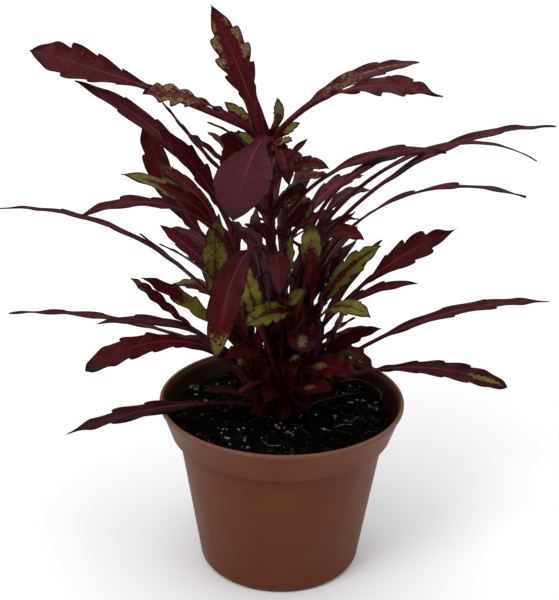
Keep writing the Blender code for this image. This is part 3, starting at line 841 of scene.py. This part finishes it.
leafRows = {  # form, height up the stem as a share, heading, rise, bend, length mm, width mm, roll
    "main": [
        # the crown: the top leaf, the long pair to the left and right, and the plum one that hangs forwards
        ("lance", 0.97, 193, 71, 6, 63, 16, -82),
        ("paddle", 1.00, 169, 22, 11, 107, 16, -55),
        ("paddle", 0.96, 207, 52, 49, 63, 12, -35),
        ("strap", 0.98, 25, 46, 48, 79, 9, 25),
        ("dart", 0.96, 326, 57, 69, 91, 11, 35),
        ("kite", 1.00, 259, 8, 48, 65, 23, -4),
        # small leaves round the crown
        ("spear", 1.00, 353, 42, -70, 18, 5, 80),
        ("spear", 1.00, 320, 60, 10, 13, 7, 40),
        ("spear", 0.93, 165, 66, 32, 30, 7, -60),
        ("spear", 0.98, 323, 39, 10, 20, 5, 70),
        ("spear", 0.90, 294, 65, 58, 31, 6, 40),
        # upper stem
        ("strap", 0.74, 195, 43, -12, 70, 5, -20),
        ("spear", 0.80, 220, 39, -2, 56, 7, -30),
        ("strap", 0.90, 212, 54, 31, 37, 5, -10),
        ("spear", 0.74, 155, 33, -48, 38, 12, -65),
        ("strap", 0.80, 331, 79, 94, 37, 8, 45),
        ("strap", 0.74, 310, 64, 55, 47, 7, 35),
        ("spear", 0.68, 309, 84, 75, 38, 10, 60),
        ("spear", 0.85, 41, 68, 84, 23, 8, 40),
        ("spear", 0.68, 349, 31, -20, 25, 8, 60),
        # middle and foot, towards the front
        ("fore", 0.61, 252, 46, 126, 85, 13, -12),
        ("spear", 0.34, 245, 34, -42, 58, 10, -150),
        ("spear", 0.48, 306, 36, -68, 36, 8, 85),
        ("spear", 0.46, 294, 13, -28, 37, 7, 80),
        ("spear", 0.55, 274, 61, 102, 58, 10, 0),
        ("spear", 0.60, 247, 78, 75, 38, 9, 15),
        ("spear", 0.13, 298, 30, 10, 50, 9, 35),
        ("spear", 0.17, 316, 46, 48, 50, 13, 40),
        ("spear", 0.22, 232, 55, 60, 42, 10, -30),
        ("spear", 0.12, 258, 45, 50, 34, 9, -15),
        ("stub", 0.13, 240, 50, 55, 38, 2, 0),
        ("spear", 0.16, 219, 66, 30, 44, 8, -30),
        ("spear", 0.20, 283, 56, 66, 36, 8, 15),
    ],
    "left": [
        ("strap", 0.98, 166, 64, 46, 96, 9, -35),
        ("strap", 0.93, 191, 73, 30, 62, 11, -45),
        ("spear", 0.84, 143, 17, -61, 82, 13, -70),
        ("strap", 0.76, 192, 80, 69, 74, 9, -40),
        ("strap", 0.88, 146, 59, 42, 56, 7, -30),
        ("strap", 0.85, 212, 65, 82, 85, 8, -20),
        ("strap", 0.45, 174, 61, 67, 129, 6, 0),
        ("strap", 0.50, 214, 54, 13, 74, 3.5, 0),
        ("strap", 0.64, 140, 39, 24, 56, 7, -50),
        ("strap", 0.55, 208, 66, 37, 58, 6, 0),
        ("spear", 0.42, 154, 86, 113, 53, 7, -30),
        ("paddle", 0.25, 218, 47, 3, 87, 8, -40),
        ("strap", 0.33, 202, 60, 31, 69, 9, -40),
        ("strap", 0.34, 162, 18, 30, 122, 7, 0),
        ("strap", 0.27, 195, 58, 66, 79, 7.5, -10),
        ("oar", 0.20, 218, 63, 84, 99, 10.5, -40),
        ("strap", 0.18, 159, 64, 95, 57, 8, -30),
        ("strap", 0.11, 200, 16, 32, 88, 8.5, -25),
        ("spear", 0.40, 193, 56, -46, 68, 13, -80),
        ("spear", 0.14, 238, 68, 40, 44, 8, -20),
        ("spear", 0.10, 262, 66, 60, 34, 8, 0),
    ],
    "right": [
        ("strap", 0.84, 17, 53, 58, 130, 7, 10),
        ("strap", 0.90, 26, 54, 85, 132, 6, 5),
        ("strap", 0.97, 19, 67, 75, 64, 6, 10),
        ("strap", 0.66, 336, 74, 85, 118, 6.5, 5),
        ("strap", 0.74, 306, 84, 95, 50, 8, 40),
        ("strap", 0.80, 34, 85, 108, 35, 5, 5),
        ("strap", 0.90, 50, 61, 89, 51, 7, 15),
        ("oar", 0.48, 270, 63, -8, 61, 9.5, 175),
        ("spear", 0.40, 320, 77, 43, 69, 11, 72),
        ("dart", 0.38, 8, 58, 37, 87, 13, 45),
        ("strap", 0.36, 321, 66, 52, 76, 7.5, 25),
        ("spear", 0.43, 295, 60, 62, 68, 10, 30),
        ("spear", 0.52, 240, 38, 43, 58, 11, -50),
        ("shield", 0.49, 264, 50, 104, 33, 14, 0),
        ("strap", 0.18, 11, 40, 46, 123, 7.5, 15),
        ("oar", 0.13, 342, 41, 57, 97, 8.5, 40),
        ("strap", 0.30, 39, 38, 54, 42, 4.5, 0),
        ("strap", 0.27, 8, 70, 81, 30, 5, 10),
        ("spear", 0.22, 354, 85, 145, 42, 9, 20),
        ("spear", 0.12, 301, 66, 62, 44, 9, 20),
        ("spear", 0.17, 333, 72, 52, 54, 9, 40),
    ],
    "back": [
        ("strap", 0.94, 350, 59, 66, 82, 7.5, 25),
    ],
}

# Leaves by rule: ones that arch back from each stem, pairs of young ones up it, and small ones on long
# stalks that crowd its foot. Their numbers and seeds, and the limits of their draws.
goldenShare, headingPlay = 0.618, 0.1

rearLeaves = {
    "counts": {"main": 4, "left": 4, "right": 4, "back": 9},
    "headings": {"main": (75, 125), "left": (90, 130), "right": (55, 95), "back": (55, 125)},
    "seeds": {"main": 43, "left": 1, "right": 1, "back": 1},
    "heights": (0.20, 0.80),
    "length": 92,
    "shorterPerDegree": 0.55,
    "unevenSteps": False,
    "longer": (-10, 10),
    "rise": (38, 62),
    "bend": (35, 75),
    "width": (7, 9),
    "roll": (-20, 20),
}

youngLeaves = {
    "pairs": {"main": 7, "left": 6, "right": 7, "back": 3},
    "seeds": {"main": 7, "left": 52, "right": 89, "back": 3},
    "heights": (0.11, 0.82),
    "headings": (15, 195),
    "widthShare": 0.22,
    "turn": (-20, 20),
    "length": (18, 30),
    "rise": (45, 70),
    "bend": (0, 60),
    "roll": (-40, 40),
}

basalLeaves = {
    "counts": {"main": 22, "left": 15, "right": 15, "back": 5},
    "headings": {"main": (150, 390), "left": (150, 330), "right": (210, 400), "back": (40, 240)},
    "seeds": {"main": 21, "left": 22, "right": 23, "back": 24},
    "heights": (0.0, 0.22),
    "unevenSteps": True,
    "length": (34, 72),
    "rise": (68, 88),
    "bend": (-15, 30),
    "width": (4, 8),
    "roll": (-60, 60),
}


def placesByRule(stem, leaves):
    # Spreads leaves up their part of a stem, and their headings by the golden share. The numbers' source goes
    # with each, so that a leaf's own draws come before the next leaf's.
    draw = random.Random(leaves["seeds"][stem])
    lowest, highest = leaves["heights"]
    first, last = leaves["headings"][stem]
    count = leaves["counts"][stem]
    for i in range(count):
        step = draw.random() if leaves["unevenSteps"] else 0.5
        at = lowest + (highest - lowest) * (i + step) / count
        share = (i * goldenShare + draw.uniform(0, headingPlay)) % 1.0
        yield draw, at, first + (last - first) * share


def rearRows(stem):
    # The straighter back a leaf points, the longer it is
    rows = []
    for draw, at, heading in placesByRule(stem, rearLeaves):
        shorter = rearLeaves["shorterPerDegree"] * abs(heading - 90)
        length = rearLeaves["length"] - shorter + draw.uniform(*rearLeaves["longer"])
        rise, bend, width, roll = drawn(draw, rearLeaves, "rise", "bend", "width", "roll")
        rows.append(("strap", at, heading, rise, bend, length, width, roll))
    return rows


def youngRows(stem):
    # Each pair is turned a quarter from the last
    draw = random.Random(youngLeaves["seeds"][stem])
    lowest, highest = youngLeaves["heights"]
    pairs = youngLeaves["pairs"][stem]
    rows = []
    for pair in range(pairs):
        at = lowest + (highest - lowest) * pair / (pairs - 1)
        for side in youngLeaves["headings"]:
            heading = side + 90 * pair + draw.uniform(*youngLeaves["turn"])
            length, rise, bend, roll = drawn(draw, youngLeaves, "length", "rise", "bend", "roll")
            rows.append(("sprig", at, heading, rise, bend, length, youngLeaves["widthShare"] * length, roll))
    return rows


# A few more that the photograph shows: short ones at the crown, and bent stalks at the foot
limeRow = ("spear", 0.95, 222, 37, 8, 20, 5, -75)
smallRows = {
    "main": [
        ("spear", 0.97, 290, 40, 120, 34, 8, 35), limeRow,
        ("spear", 0.86, 199, 64, 40, 30, 13, -70), ("shoot", 0.10, 233, 46, -58, 43, 5, -60),
    ],
    "left": [("shoot", 0.10, 224, 89, 61, 43, 4, -60), ("shoot", 0.10, 231, 81, 54, 46, 4, -60)],
    "right": [("shoot", 0.10, 308, 89, 86, 46, 4, 50), ("shoot", 0.08, 241, 33, -70, 54, 5, -60)],
    "back": [],
}


def basalRows(stem):
    rows = []
    for draw, at, heading in placesByRule(stem, basalLeaves):
        limits = drawn(draw, basalLeaves, "rise", "bend", "length", "width", "roll")
        rows.append(("shoot", at, heading, *limits))
    return smallRows[stem] + rows


# Leaves: the fine blades

blades = {
    "spacing": 0.95 * mm,
    "fewest": 18,
    "most": 104,
    "columns": 13,
    "lobesFrom": 0.20,
    "lobesTo": 0.90,
    "lobePeak": 0.72,
    "lobeDepth": (0.8, 1.5),  # of the form's notch, drawn for each lobe
    "lobeShift": (-0.12, 0.12),
    "lobeLean": 0.25,
    "tipFrom": 0.965,
    "tipRound": 0.97,
    "thinnest": 0.02 * mm,
    "stalkHalfWidth": 1.0 * mm,
    "stalkHalfThickness": 0.85 * mm,
    "stalkFlare": 0.35,
    "flareLength": 4,  # in mm
    "stalkStations": 0.7,
    "halfThickness": 0.22 * mm,
    "opening": 0.14,
    "fold": (0.06, 0.30),
    "foldRound": 1.3 * mm,
    "wave": (0.03, 0.08),  # of the width
    "waveStart": (0, 6.3),
    "wavesPerLobe": (0.7, 1.1),
    "knobLift": (-0.06, 0.05),
    "quilt": 0.20 * mm,
    "twist": (-10, 10),
    # the groove above the midrib and the rib below it: depth, half width, and how much is gone at the tip
    "groove": (0.16 * mm, 0.45 * mm, 0.6),
    "rib": (0.45 * mm, 0.6 * mm, 0.85),
    "veinSkew": 0.9,
    "paintedShare": 0.16,  # of the leaves by rule that have lime at a side or at the tip
    "seeds": {"main": 5, "left": 6, "right": 7, "back": 8},
}

# How far the named leaves fold along the midrib, and the share of the waves that their edges keep
leafFolds = {
    "main": {0: (0.15, 0.6), 5: (0.08, 0.12), 20: (0.65, 0.4), 21: (0.10, 1.0), 24: (0.3, 0.5)},
    "left": {3: (0.12, 1.0), 12: (0.1, 1.0), 18: (0.08, 0.8)},
    "right": {7: (0.08, 0.8), 8: (0.05, 0.8), 11: (0.08, 1.0), 12: (0.08, 0.8), 13: (0.2, 0.8)},
    "back": {},
}

# What colours each listed leaf besides burgundy: (pattern, from, reach, plum share, tan share). The others
# are plain. Lengths along the blade and across it are shares of the blade and of its half width.
leafLooks = {
    "main": {
        0: ("knobs", 0.62, 0.16, 0.25, 1.0), 1: ("plain", 0, 0, 0.35, 0),
        2: ("mottled", 0.06, 0.30, 0.30, 1.0), 3: ("middle", 0.16, 0.80, 0.1, 0.8),
        4: ("plain", 0, 0, 0.35, 0), 5: ("plain", 0, 0, 0.95, 0), 6: ("lime", 0.0, 0, 0, 0.6),
        8: ("side", 0.30, 0.4, 0.1, 0.7), 9: ("lime", 0.38, 0, 0, 0.4), 10: ("lime", 0.38, 0, 0, 0.6),
        12: ("plain", 0, 0, 0.3, 0), 13: ("base", 0.35, 0.1, 0, 0.2), 15: ("mottled", -0.10, 0.3, 0, 0.9),
        16: ("mottled", 0.02, 0.3, 0, 0.8), 17: ("mottled", 0.0, 0.3, 0, 0.6), 18: ("plain", 0, 0, 0.8, 0),
        19: ("side", 0.55, 0.3, 0, 0.8), 20: ("tip", 0.81, 0.05, 0.20, 0.15),
        21: ("stripe", 0.20, 0.62, 0, 0), 22: ("side", 0.10, 0.1, 0, 0), 23: ("tip", 0.10, 0.30, 0, 0),
        24: ("plain", 0, 0, 0.2, 0), 25: ("plain", 0, 0, 0.7, 0), 26: ("patch", 0.45, 0.16, 0, 0.5),
        27: ("patch", 0.42, 0.12, 0, 0.6), 30: ("plain", 0, 0, 1.0, 0),
    },
    "left": {
        1: ("plain", 0, 0, 0.2, 0), 3: ("tip", 0.43, 0.34, 0, 0.45), 4: ("tip", 0.74, 0.2, 0, 0.9),
        6: ("plain", 0, 0, 0.5, 0), 10: ("side", 0.45, 0.5, 0, 0.4), 11: ("tip", 0.80, 0.15, 0.2, 0.9),
        12: ("base", 0.50, 0.15, 0, 0), 14: ("tip", 0.88, 0.1, 0, 0.2), 17: ("plain", 0, 0, 0.5, 0),
        18: ("spotted", 0.22, 0.62, 0, 0.15),
    },
    "right": {
        7: ("tip", 0.50, 0.22, 0, 0.1), 8: ("stripe", 0.30, 0.95, 0, 0.1), 10: ("plain", 0, 0, 0.5, 0),
        11: ("stripe", 0.25, 0.7, 0, 0.1), 12: ("stripe", 0.34, 0.72, 0, 0.05),
        13: ("patch", 0.80, 0.14, 0.75, 0.9), 15: ("patch", 0.86, 0.14, 0, 0.1),
    },
    "back": {},
}


def limeField(look, blade, across, part, right):
    # Above 0 where a leaf is lime, and falling away from there. Each pattern is a sum or product of the
    # shares along the blade and across it. "knobs" counts the distance from the middle of each lobe's knob.
    pattern, start, reach = look[:3]
    if pattern == "lime":
        return 4 * (blade - start) + 0 * across
    if pattern in ("stripe", "spotted"):  # a burgundy stripe that narrows up to its reach
        return 2.2 * (across - 1.25 * start * np.clip(1 - blade / reach, 0, None) ** 0.7)
    if pattern == "middle":  # lime along the middle only
        return 2.5 * (start - across) * smoothStep(8 * (blade - 0.45)) * (blade < reach)
    if pattern == "side":  # lime on one half of the blade
        return 2.0 * (blade - start) + 0.7 * right * (across + 0.1) - 0.5
    if pattern == "knobs":
        apart = np.hypot((part - 0.66) / 0.55, (across - 0.78) / 0.34)
        return 0.45 * (1 - apart) - 3 * np.clip(np.abs(blade - start) - reach, 0, None)
    if pattern == "mottled":  # flecks, more of them near the edge
        return start + reach * (across - 0.5) - 3 * np.clip(np.abs(blade - 0.62) - 0.22, 0, None)
    if pattern == "tip":  # burgundy reaches furthest along the midrib
        return 3.0 * (blade - start - reach * (1 - across))
    if pattern == "base":
        return 3.0 * (start + reach * across - blade) * smoothStep(12 * blade)
    if pattern == "patch":
        return 0.6 - 0.6 / reach * np.hypot(blade - start, 0.4 * across)
    return -1.5 + 0 * blade * across


def sideOutline(form, width, blade, draw):
    # Half the blade's width along one side: it swells and narrows as two powers of the share along it, less
    # a notch at the start of each lobe. From notch to notch a lobe swells to its knob and rounds back in, by
    # part quarter circle and part power. Also gives the lobes counted up to each place, and how much of a
    # knob it is.
    _, swell, narrow, lobes, notch, _ = leafForms[form]
    widest = swell / (swell + narrow)
    held = np.minimum(blade, 0.992)
    body = (held / widest) ** swell * ((1 - held) / (1 - widest)) ** narrow
    if not lobes:
        return 0 * blade, 3 * blade, 0 * blade
    shift = draw.uniform(*blades["lobeShift"])
    depths = np.array([notch * draw.uniform(*blades["lobeDepth"]) for _ in range(lobes + 2)])
    phase = (blade - blades["lobesFrom"]) * lobes / (blades["lobesTo"] - blades["lobesFrom"]) + shift
    lobe = np.floor(phase)
    part = phase - lobe
    peak = blades["lobePeak"]
    opening = np.clip(1 - part / peak, 0, 1) * ((lobe >= 0) & (lobe < lobes))
    closing = np.clip((part - peak) / (1 - peak), 0, 1) * ((lobe >= -1) & (lobe < lobes - 1))
    away = np.clip(opening + closing, 0, 1)
    dip = 0.45 * (1 - np.sqrt(1 - 0.999 * away ** 2)) + 0.55 * away ** 1.6
    depth = np.interp(phase, np.arange(-1, lobes + 1), depths)
    knob = (1 - dip) * smoothStep(phase + 0.3) * smoothStep(lobes - phase)
    return width / 2 * body * (1 - depth * dip), phase, knob


def leafSurface(stem, leaf, look, folds, draw):
    # A closed blade: columns across its top and back across its underside, at stations along its arc. Each
    # place lies off the midline by its share of the half width, and above it by the fold, the waves of the
    # edge, the quilting between veins and half the thickness. The stalk is an oval that opens into the blade.
    form, at, heading, rise, bend, length, width, roll = leaf
    plum, tan = look[3:]
    stalk, _, _, lobes, _, wings = leafForms[form]
    stations = int(np.clip(length * mm / blades["spacing"], blades["fewest"], blades["most"]))
    onStalk = max(4, round(blades["stalkStations"] * stalk * stations))
    shares = np.linspace(0, stalk, onStalk, endpoint=form == "stub")
    if form != "stub":
        shares = np.append(shares, stalk + (1 - stalk) * np.linspace(0, 1, stations - onStalk))
    blade = np.clip((shares - stalk) / max(1 - stalk, 0.01), 0, 1)
    root = stemFrames(stem, [at])[0][0]
    points, along, across, normal = arcFrames(root, heading, rise, bend, length * mm, shares)

    v = np.sin(math.pi * np.linspace(-1, 1, blades["columns"]) / 2)
    outlines = zip(*[sideOutline(form, width * mm, blade, draw) for _ in range(2)])
    half, phase, knob = [np.where(v < 0, left[:, None], right[:, None]) for left, right in outlines]
    flare = blades["stalkHalfWidth"] * blades["stalkFlare"] * np.exp(-shares * length / blades["flareLength"])
    stalkPart = (max(blades["stalkHalfWidth"], wings * width * mm / 2) + flare) * (1 - blade) ** 0.7
    half = (half ** 4 + stalkPart[:, None] ** 4) ** 0.25
    toTip = np.clip((blade - blades["tipFrom"]) / (1 - blades["tipFrom"]), 0, 1)
    closing = np.sqrt(1 - blades["tipRound"] * toTip ** 2)[:, None]
    halfWidth = np.maximum(half * closing, blades["thinnest"])
    blade = blade[:, None]
    opened = smoothStep(blade / blades["opening"])
    edge = np.abs(v)
    x = v * halfWidth
    vein = phase - blades["veinSkew"] * (1 - edge)

    fold, calm = folds or (draw.uniform(*blades["fold"]), 1.0)
    lift = fold * (np.sqrt(x ** 2 + blades["foldRound"] ** 2) - blades["foldRound"])
    waveSize = draw.uniform(*blades["wave"]) * width * mm * calm
    waves = np.where(v < 0, draw.uniform(*blades["waveStart"]), draw.uniform(*blades["waveStart"]))
    beat = 2 * math.pi * draw.uniform(*blades["wavesPerLobe"])
    lift = lift + waveSize * edge ** 2 * np.sin(phase * beat + waves)
    lift = lift + draw.uniform(*blades["knobLift"]) * width * mm * knob * edge ** 4 * calm
    quilt = blades["quilt"] * calm * np.cos(2 * math.pi * (vein - 0.75))
    lift = lift - quilt * np.sqrt(edge) * (1 - edge ** 3)
    lift = lift * opened
    stalkTop = (1 - opened) * blades["stalkHalfThickness"] * np.sqrt(1 - edge ** 2)
    inner = 1 - edge ** 8
    slim = blades["halfThickness"] * inner ** 0.5
    rib, groove = [depth * np.exp(-(x / spread) ** 2) * (1 - fade * blade) for depth, spread, fade in
                   (blades["rib"], blades["groove"])]
    above = lift + stalkTop + opened * (slim - groove * inner)
    under = lift - stalkTop - opened * (slim + rib * inner)
    lobeLength = length * mm * (1 - stalk) * (blades["lobesTo"] - blades["lobesFrom"]) / max(lobes, 1)
    forward = blades["lobeLean"] * lobeLength * knob * edge ** 2

    turn = np.radians(roll + draw.uniform(*blades["twist"]) * (shares - 0.4))[:, None]
    side = across * np.cos(turn) - normal * np.sin(turn)
    thick = normal * np.cos(turn) + across * np.sin(turn)
    count = blades["columns"]
    loop = np.concatenate([np.arange(count), np.arange(count - 2, 0, -1)])
    isTop = np.arange(len(loop)) < count
    height = np.where(isTop, above[:, loop], under[:, loop])
    rings = points[:, None, :] + side[:, None, :] * x[:, loop, None] + thick[:, None, :] * height[..., None]
    rings = rings + along[:, None, :] * forward[:, loop, None]

    field = limeField(look, blade, edge, phase - np.floor(phase), np.sign(v))
    values = {
        "bladeOpen": opened,
        "bladeShare": blade,
        "acrossShare": edge[loop],
        "ribDistance": np.abs(x)[:, loop] / mm,
        "rimDistance": ((1 - edge) * halfWidth / mm + 4 * (1 - opened))[:, loop],
        "veinPhase": vein[:, loop],
        "limeField": (field * opened - 1.5 * (1 - opened))[:, loop],
        "spotShare": float(look[0] == "spotted"),
        "tanShare": float(tan),
        "plumShare": float(plum),
        "leafTone": draw.uniform(0, 1),
        "topSide": isTop.astype(float),
    }
    return loftedTube(rings, values)


leafColours = {
    "burgundyDark": (0.024, 0.0008, 0.0018), "burgundyLight": (0.064, 0.0034, 0.0058),
    "wine": (0.058, 0.0016, 0.0034), "brown": (0.046, 0.0085, 0.0050), "plum": (0.045, 0.0016, 0.0076),
    "paintedTopLight": (0.088, 0.0075, 0.0105), "low": (0.016, 0.0012, 0.0026), "underside": (0.060, 0.0070, 0.0125),
    "stemFoot": (0.044, 0.0016, 0.0042), "stemTop": (0.050, 0.0030, 0.0062),
    "stemStreak": (0.088, 0.0115, 0.0190), "sideVein": (0.026, 0.002, 0.004), "midrib": (0.150, 0.022, 0.032),
    "limeDark": (0.112, 0.112, 0.0110), "limeLight": (0.172, 0.158, 0.024), "limeWarm": (0.150, 0.108, 0.030),
    "tanDark": (0.120, 0.070, 0.028), "tanLight": (0.235, 0.150, 0.082), "limeNet": (0.070, 0.068, 0.010),
    "limeVein": (0.060, 0.052, 0.010), "smear": (0.075, 0.024, 0.008), "dot": (0.026, 0.004, 0.004),
    "limeUnder": (0.110, 0.105, 0.036), "border": (0.085, 0.030, 0.010), "fleck": (0.33, 0.15, 0.14),
    "rim": (0.012, 0.0022, 0.0034), "tip": (0.012, 0.006, 0.005), "sheen": (1.0, 0.72, 0.78),
}


def leafFinish():
    finish, place, shader = newFinish("coleus_leaf")
    colours = leafColours
    cloud = mottle(place, 7 * mm, 4)
    blotch = mottle(place, 2.0 * mm, 4, 0.65)
    fleck = mottle(place, 0.9 * mm, 2)
    cells = mottle(place, 0.55 * mm, 2)
    height = heightOf(place)
    # painted light: the leaves above 0.20 m are lightened towards a brighter red, as if lit more from above
    paintedTopLight = span(height, 0.20, 0.25)
    tone, share, top = [pointValue(place, name) for name in ("leafTone", "bladeShare", "topSide")]
    opened, plum, spots = [pointValue(place, name) for name in ("bladeOpen", "plumShare", "spotShare")]

    burgundy = blendColours(span(cloud, 0.3, 0.7), colours["burgundyDark"], colours["burgundyLight"])
    burgundy = layered(burgundy, [
        (tone * 0.6, colours["wine"]),
        (span(blotch, 0.50, 0.75) * 0.5, colours["brown"]),
        (plum, colours["plum"]),
        # painted light on the upper leaves
        (paintedTopLight * 0.35, colours["paintedTopLight"]),
        # painted shade: leaves darker towards the soil, below 0.125 m, where the plant shades itself
        (span(height, 0.125, 0.085) * 0.6, colours["low"]),
    ])
    burgundy = blendColours(top, blendColours(0.5, burgundy, colours["underside"]), burgundy)
    streak = mottle(stretched(place, (1.0, 1.0, 0.1)), 1.2 * mm, 3)
    stem = blendColours(span(height, 0.075, 0.15), colours["stemFoot"], colours["stemTop"])
    stem = blendColours(span(streak, 0.42, 0.66), stem, colours["stemStreak"])

    # veins: a pink midrib, side veins that run out to the lobes, and a finer net between them
    phase = pointValue(place, "veinPhase") + blotch * 0.08
    sideVein = thinLines(phase - 0.25, 0.055)
    net = thinLines(phase * 3.0, 0.12)
    rib = span(pointValue(place, "ribDistance"), 0.6, 0.1) * opened * span(share, 1.0, 0.2)

    # lime and tan parts, ragged and mottled at their borders
    field = pointValue(place, "limeField") + ((blotch - 0.5) * 1.2 + (fleck - 0.5) * 0.8)
    isLime = span(field, 0.0, 0.16)
    dots = specks(place, 2.6 * mm, 0.24) * span(pointValue(place, "acrossShare"), 0.85, 0.4)
    smear = span(blotch + spots * 0.07, 0.53, 0.62) * calc("ADD", spots, 0.45, True)
    tan = blendColours(span(fleck, 0.42, 0.60), colours["tanDark"], colours["tanLight"])
    lime = blendColours(span(cloud, 0.35, 0.65), colours["limeDark"], colours["limeLight"])
    lime = layered(lime, [
        (span(blotch, 0.55, 0.75), colours["limeWarm"]),
        (pointValue(place, "tanShare") * 0.85, tan),
        (net * 0.25, colours["limeNet"]),
        (sideVein * 0.4, colours["limeVein"]),
        (smear * 0.75, colours["smear"]),
        (calc("MULTIPLY", dots, spots + 0.30, True), colours["dot"]),
        ((1.0 - top) * 0.7, colours["limeUnder"]),
    ])

    # the whole: then pale pink flecks on the upper leaves, above 0.20 m, and dark edges and tips
    pinks = specks(place, 2.3 * mm, 0.17) * span(fleck, 0.45, 0.6) * (paintedTopLight * opened)
    colour = layered(blendColours(opened, stem, burgundy), [
        (sideVein * (0.35 - plum * 0.3), colours["sideVein"]),
        (rib * 0.65, colours["midrib"]),
        (isLime, lime),
        (span(field, 0.45, 0.0) * isLime * 0.7, colours["border"]),
        (pinks * 0.6, colours["fleck"]),
        (span(pointValue(place, "rimDistance"), 0.95, 0.25) * 0.88, colours["rim"]),
        (span(share + tone * 0.08, 0.92, 1.04) * 0.8, colours["tip"]),
    ])
    relief = cells * 0.35 - sideVein * (top * 2.0 - 1.0) - net * 0.3
    feed(shader, {
        "Base Color": colour, "Roughness": span(cells, 0.3, 0.7, 0.34, 0.50), "Specular IOR Level": 0.07,
        "Sheen Weight": 0.004, "Sheen Roughness": 0.45, "Sheen Tint": colours["sheen"],
        "Normal": bump(relief, 0.16 * mm, 0.8),
    })
    return finish


def leafyStem(stem, finish):
    rows = leafRows[stem] + rearRows(stem) + youngRows(stem) + basalRows(stem)
    draw = random.Random(blades["seeds"][stem])
    surfaces = [stemSurface(stem, [row[1] for row in rows])]
    for i, row in enumerate(rows):
        look = leafLooks[stem].get(i, ("plain", 0, 0, 0, 0))
        if row == limeRow:
            look = ("lime", 0.05, 0, 0, 0.3)
        elif i >= len(leafRows[stem]) and draw.random() < blades["paintedShare"]:
            look = (draw.choice(["side", "tip"]), draw.uniform(0.4, 0.7), 0.25, 0.0, draw.uniform(0.2, 0.9))
        surfaces.append(leafSurface(stem, row, look, leafFolds[stem].get(i), draw))
    addPiece(f"leafy_{stem}", joinSurfaces(surfaces), finish, f"stem_{stem}")


# Fine hairs on the stems and the leaves' stalks

hairs = {
    "seed": 9,
    "perStem": 800,
    "stemPart": (0.08, 0.98),
    "perStalk": 26,
    "stalkFrom": 0.02,
    "length": (0.6, 1.4),  # in mm
    "radius": 0.045 * mm,
    "lean": 0.5,
    "rootShare": 0.9,  # of the stalk's radius, so that no hair stands free of it
    "colours": ((0.10, 0.035, 0.045), (0.34, 0.21, 0.22)),
    "mottling": 5 * mm,
}


def hairSurface(roots, outward, along, lengths):
    # Closed cones with three sides: each has three points round its root and one at its tip
    aside = np.cross(outward, along)
    turn = 2 * math.pi * np.arange(3)[None, :, None] / 3
    spread = aside[:, None, :] * np.cos(turn) + np.cross(outward, aside)[:, None, :] * np.sin(turn)
    feet = roots[:, None, :] + hairs["radius"] * spread
    tips = roots + outward * lengths[:, None]
    corners = np.array([[0, 1, 3], [1, 2, 3], [2, 0, 3], [0, 2, 1]])
    fans = corners[None, :, :] + 4 * np.arange(len(roots))[:, None, None]
    points = np.concatenate([feet, tips[:, None, :]], axis=1).reshape(-1, 3)
    return {"points": points, "quads": np.zeros((0, 4), int), "fans": fans.reshape(-1, 3), "values": {}}


def hairsAlong(points, along, across, normal, radius, draw):
    # Each hair stands out from the side of a stalk, turned at random about it and leant at random along it
    count = len(points)
    turn = draw.uniform(0, 2 * math.pi, count)[:, None]
    side = across * np.cos(turn) + normal * np.sin(turn)
    outward = side + along * draw.uniform(-hairs["lean"], hairs["lean"], count)[:, None]
    outward /= np.linalg.norm(outward, axis=1, keepdims=True)
    aside = np.cross(outward, np.cross(side, along))
    lengths = draw.uniform(*hairs["length"], count) * mm
    return hairSurface(points + side * hairs["rootShare"] * radius, outward, aside, lengths)


def makeHairs():
    draw = np.random.default_rng(hairs["seed"])
    surfaces = []
    for stem in stems["rows"]:
        shares = draw.uniform(*hairs["stemPart"], hairs["perStem"])
        surfaces.append(hairsAlong(*stemFrames(stem, shares), stemRadius(shares[:, None]), draw))
        for form, at, heading, rise, bend, length, _, _ in leafRows[stem] + youngRows(stem):
            shares = draw.uniform(hairs["stalkFrom"], leafForms[form][0], hairs["perStalk"])
            root = stemFrames(stem, [at])[0][0]
            frames = arcFrames(root, heading, rise, bend, length * mm, shares)
            surfaces.append(hairsAlong(*frames, blades["stalkHalfThickness"], draw))
    finish = paleFinish("stem_hairs", *hairs["colours"], hairs["mottling"])
    addPiece("stem_hairs", joinSurfaces(surfaces), finish)


# The whole object

makeStudio()
makePot()
makeSoil()
makeLitter()
coleusLeaf = leafFinish()
for stem in stems["rows"]:
    leafyStem(stem, coleusLeaf)
makeHairs()
print("plant done")
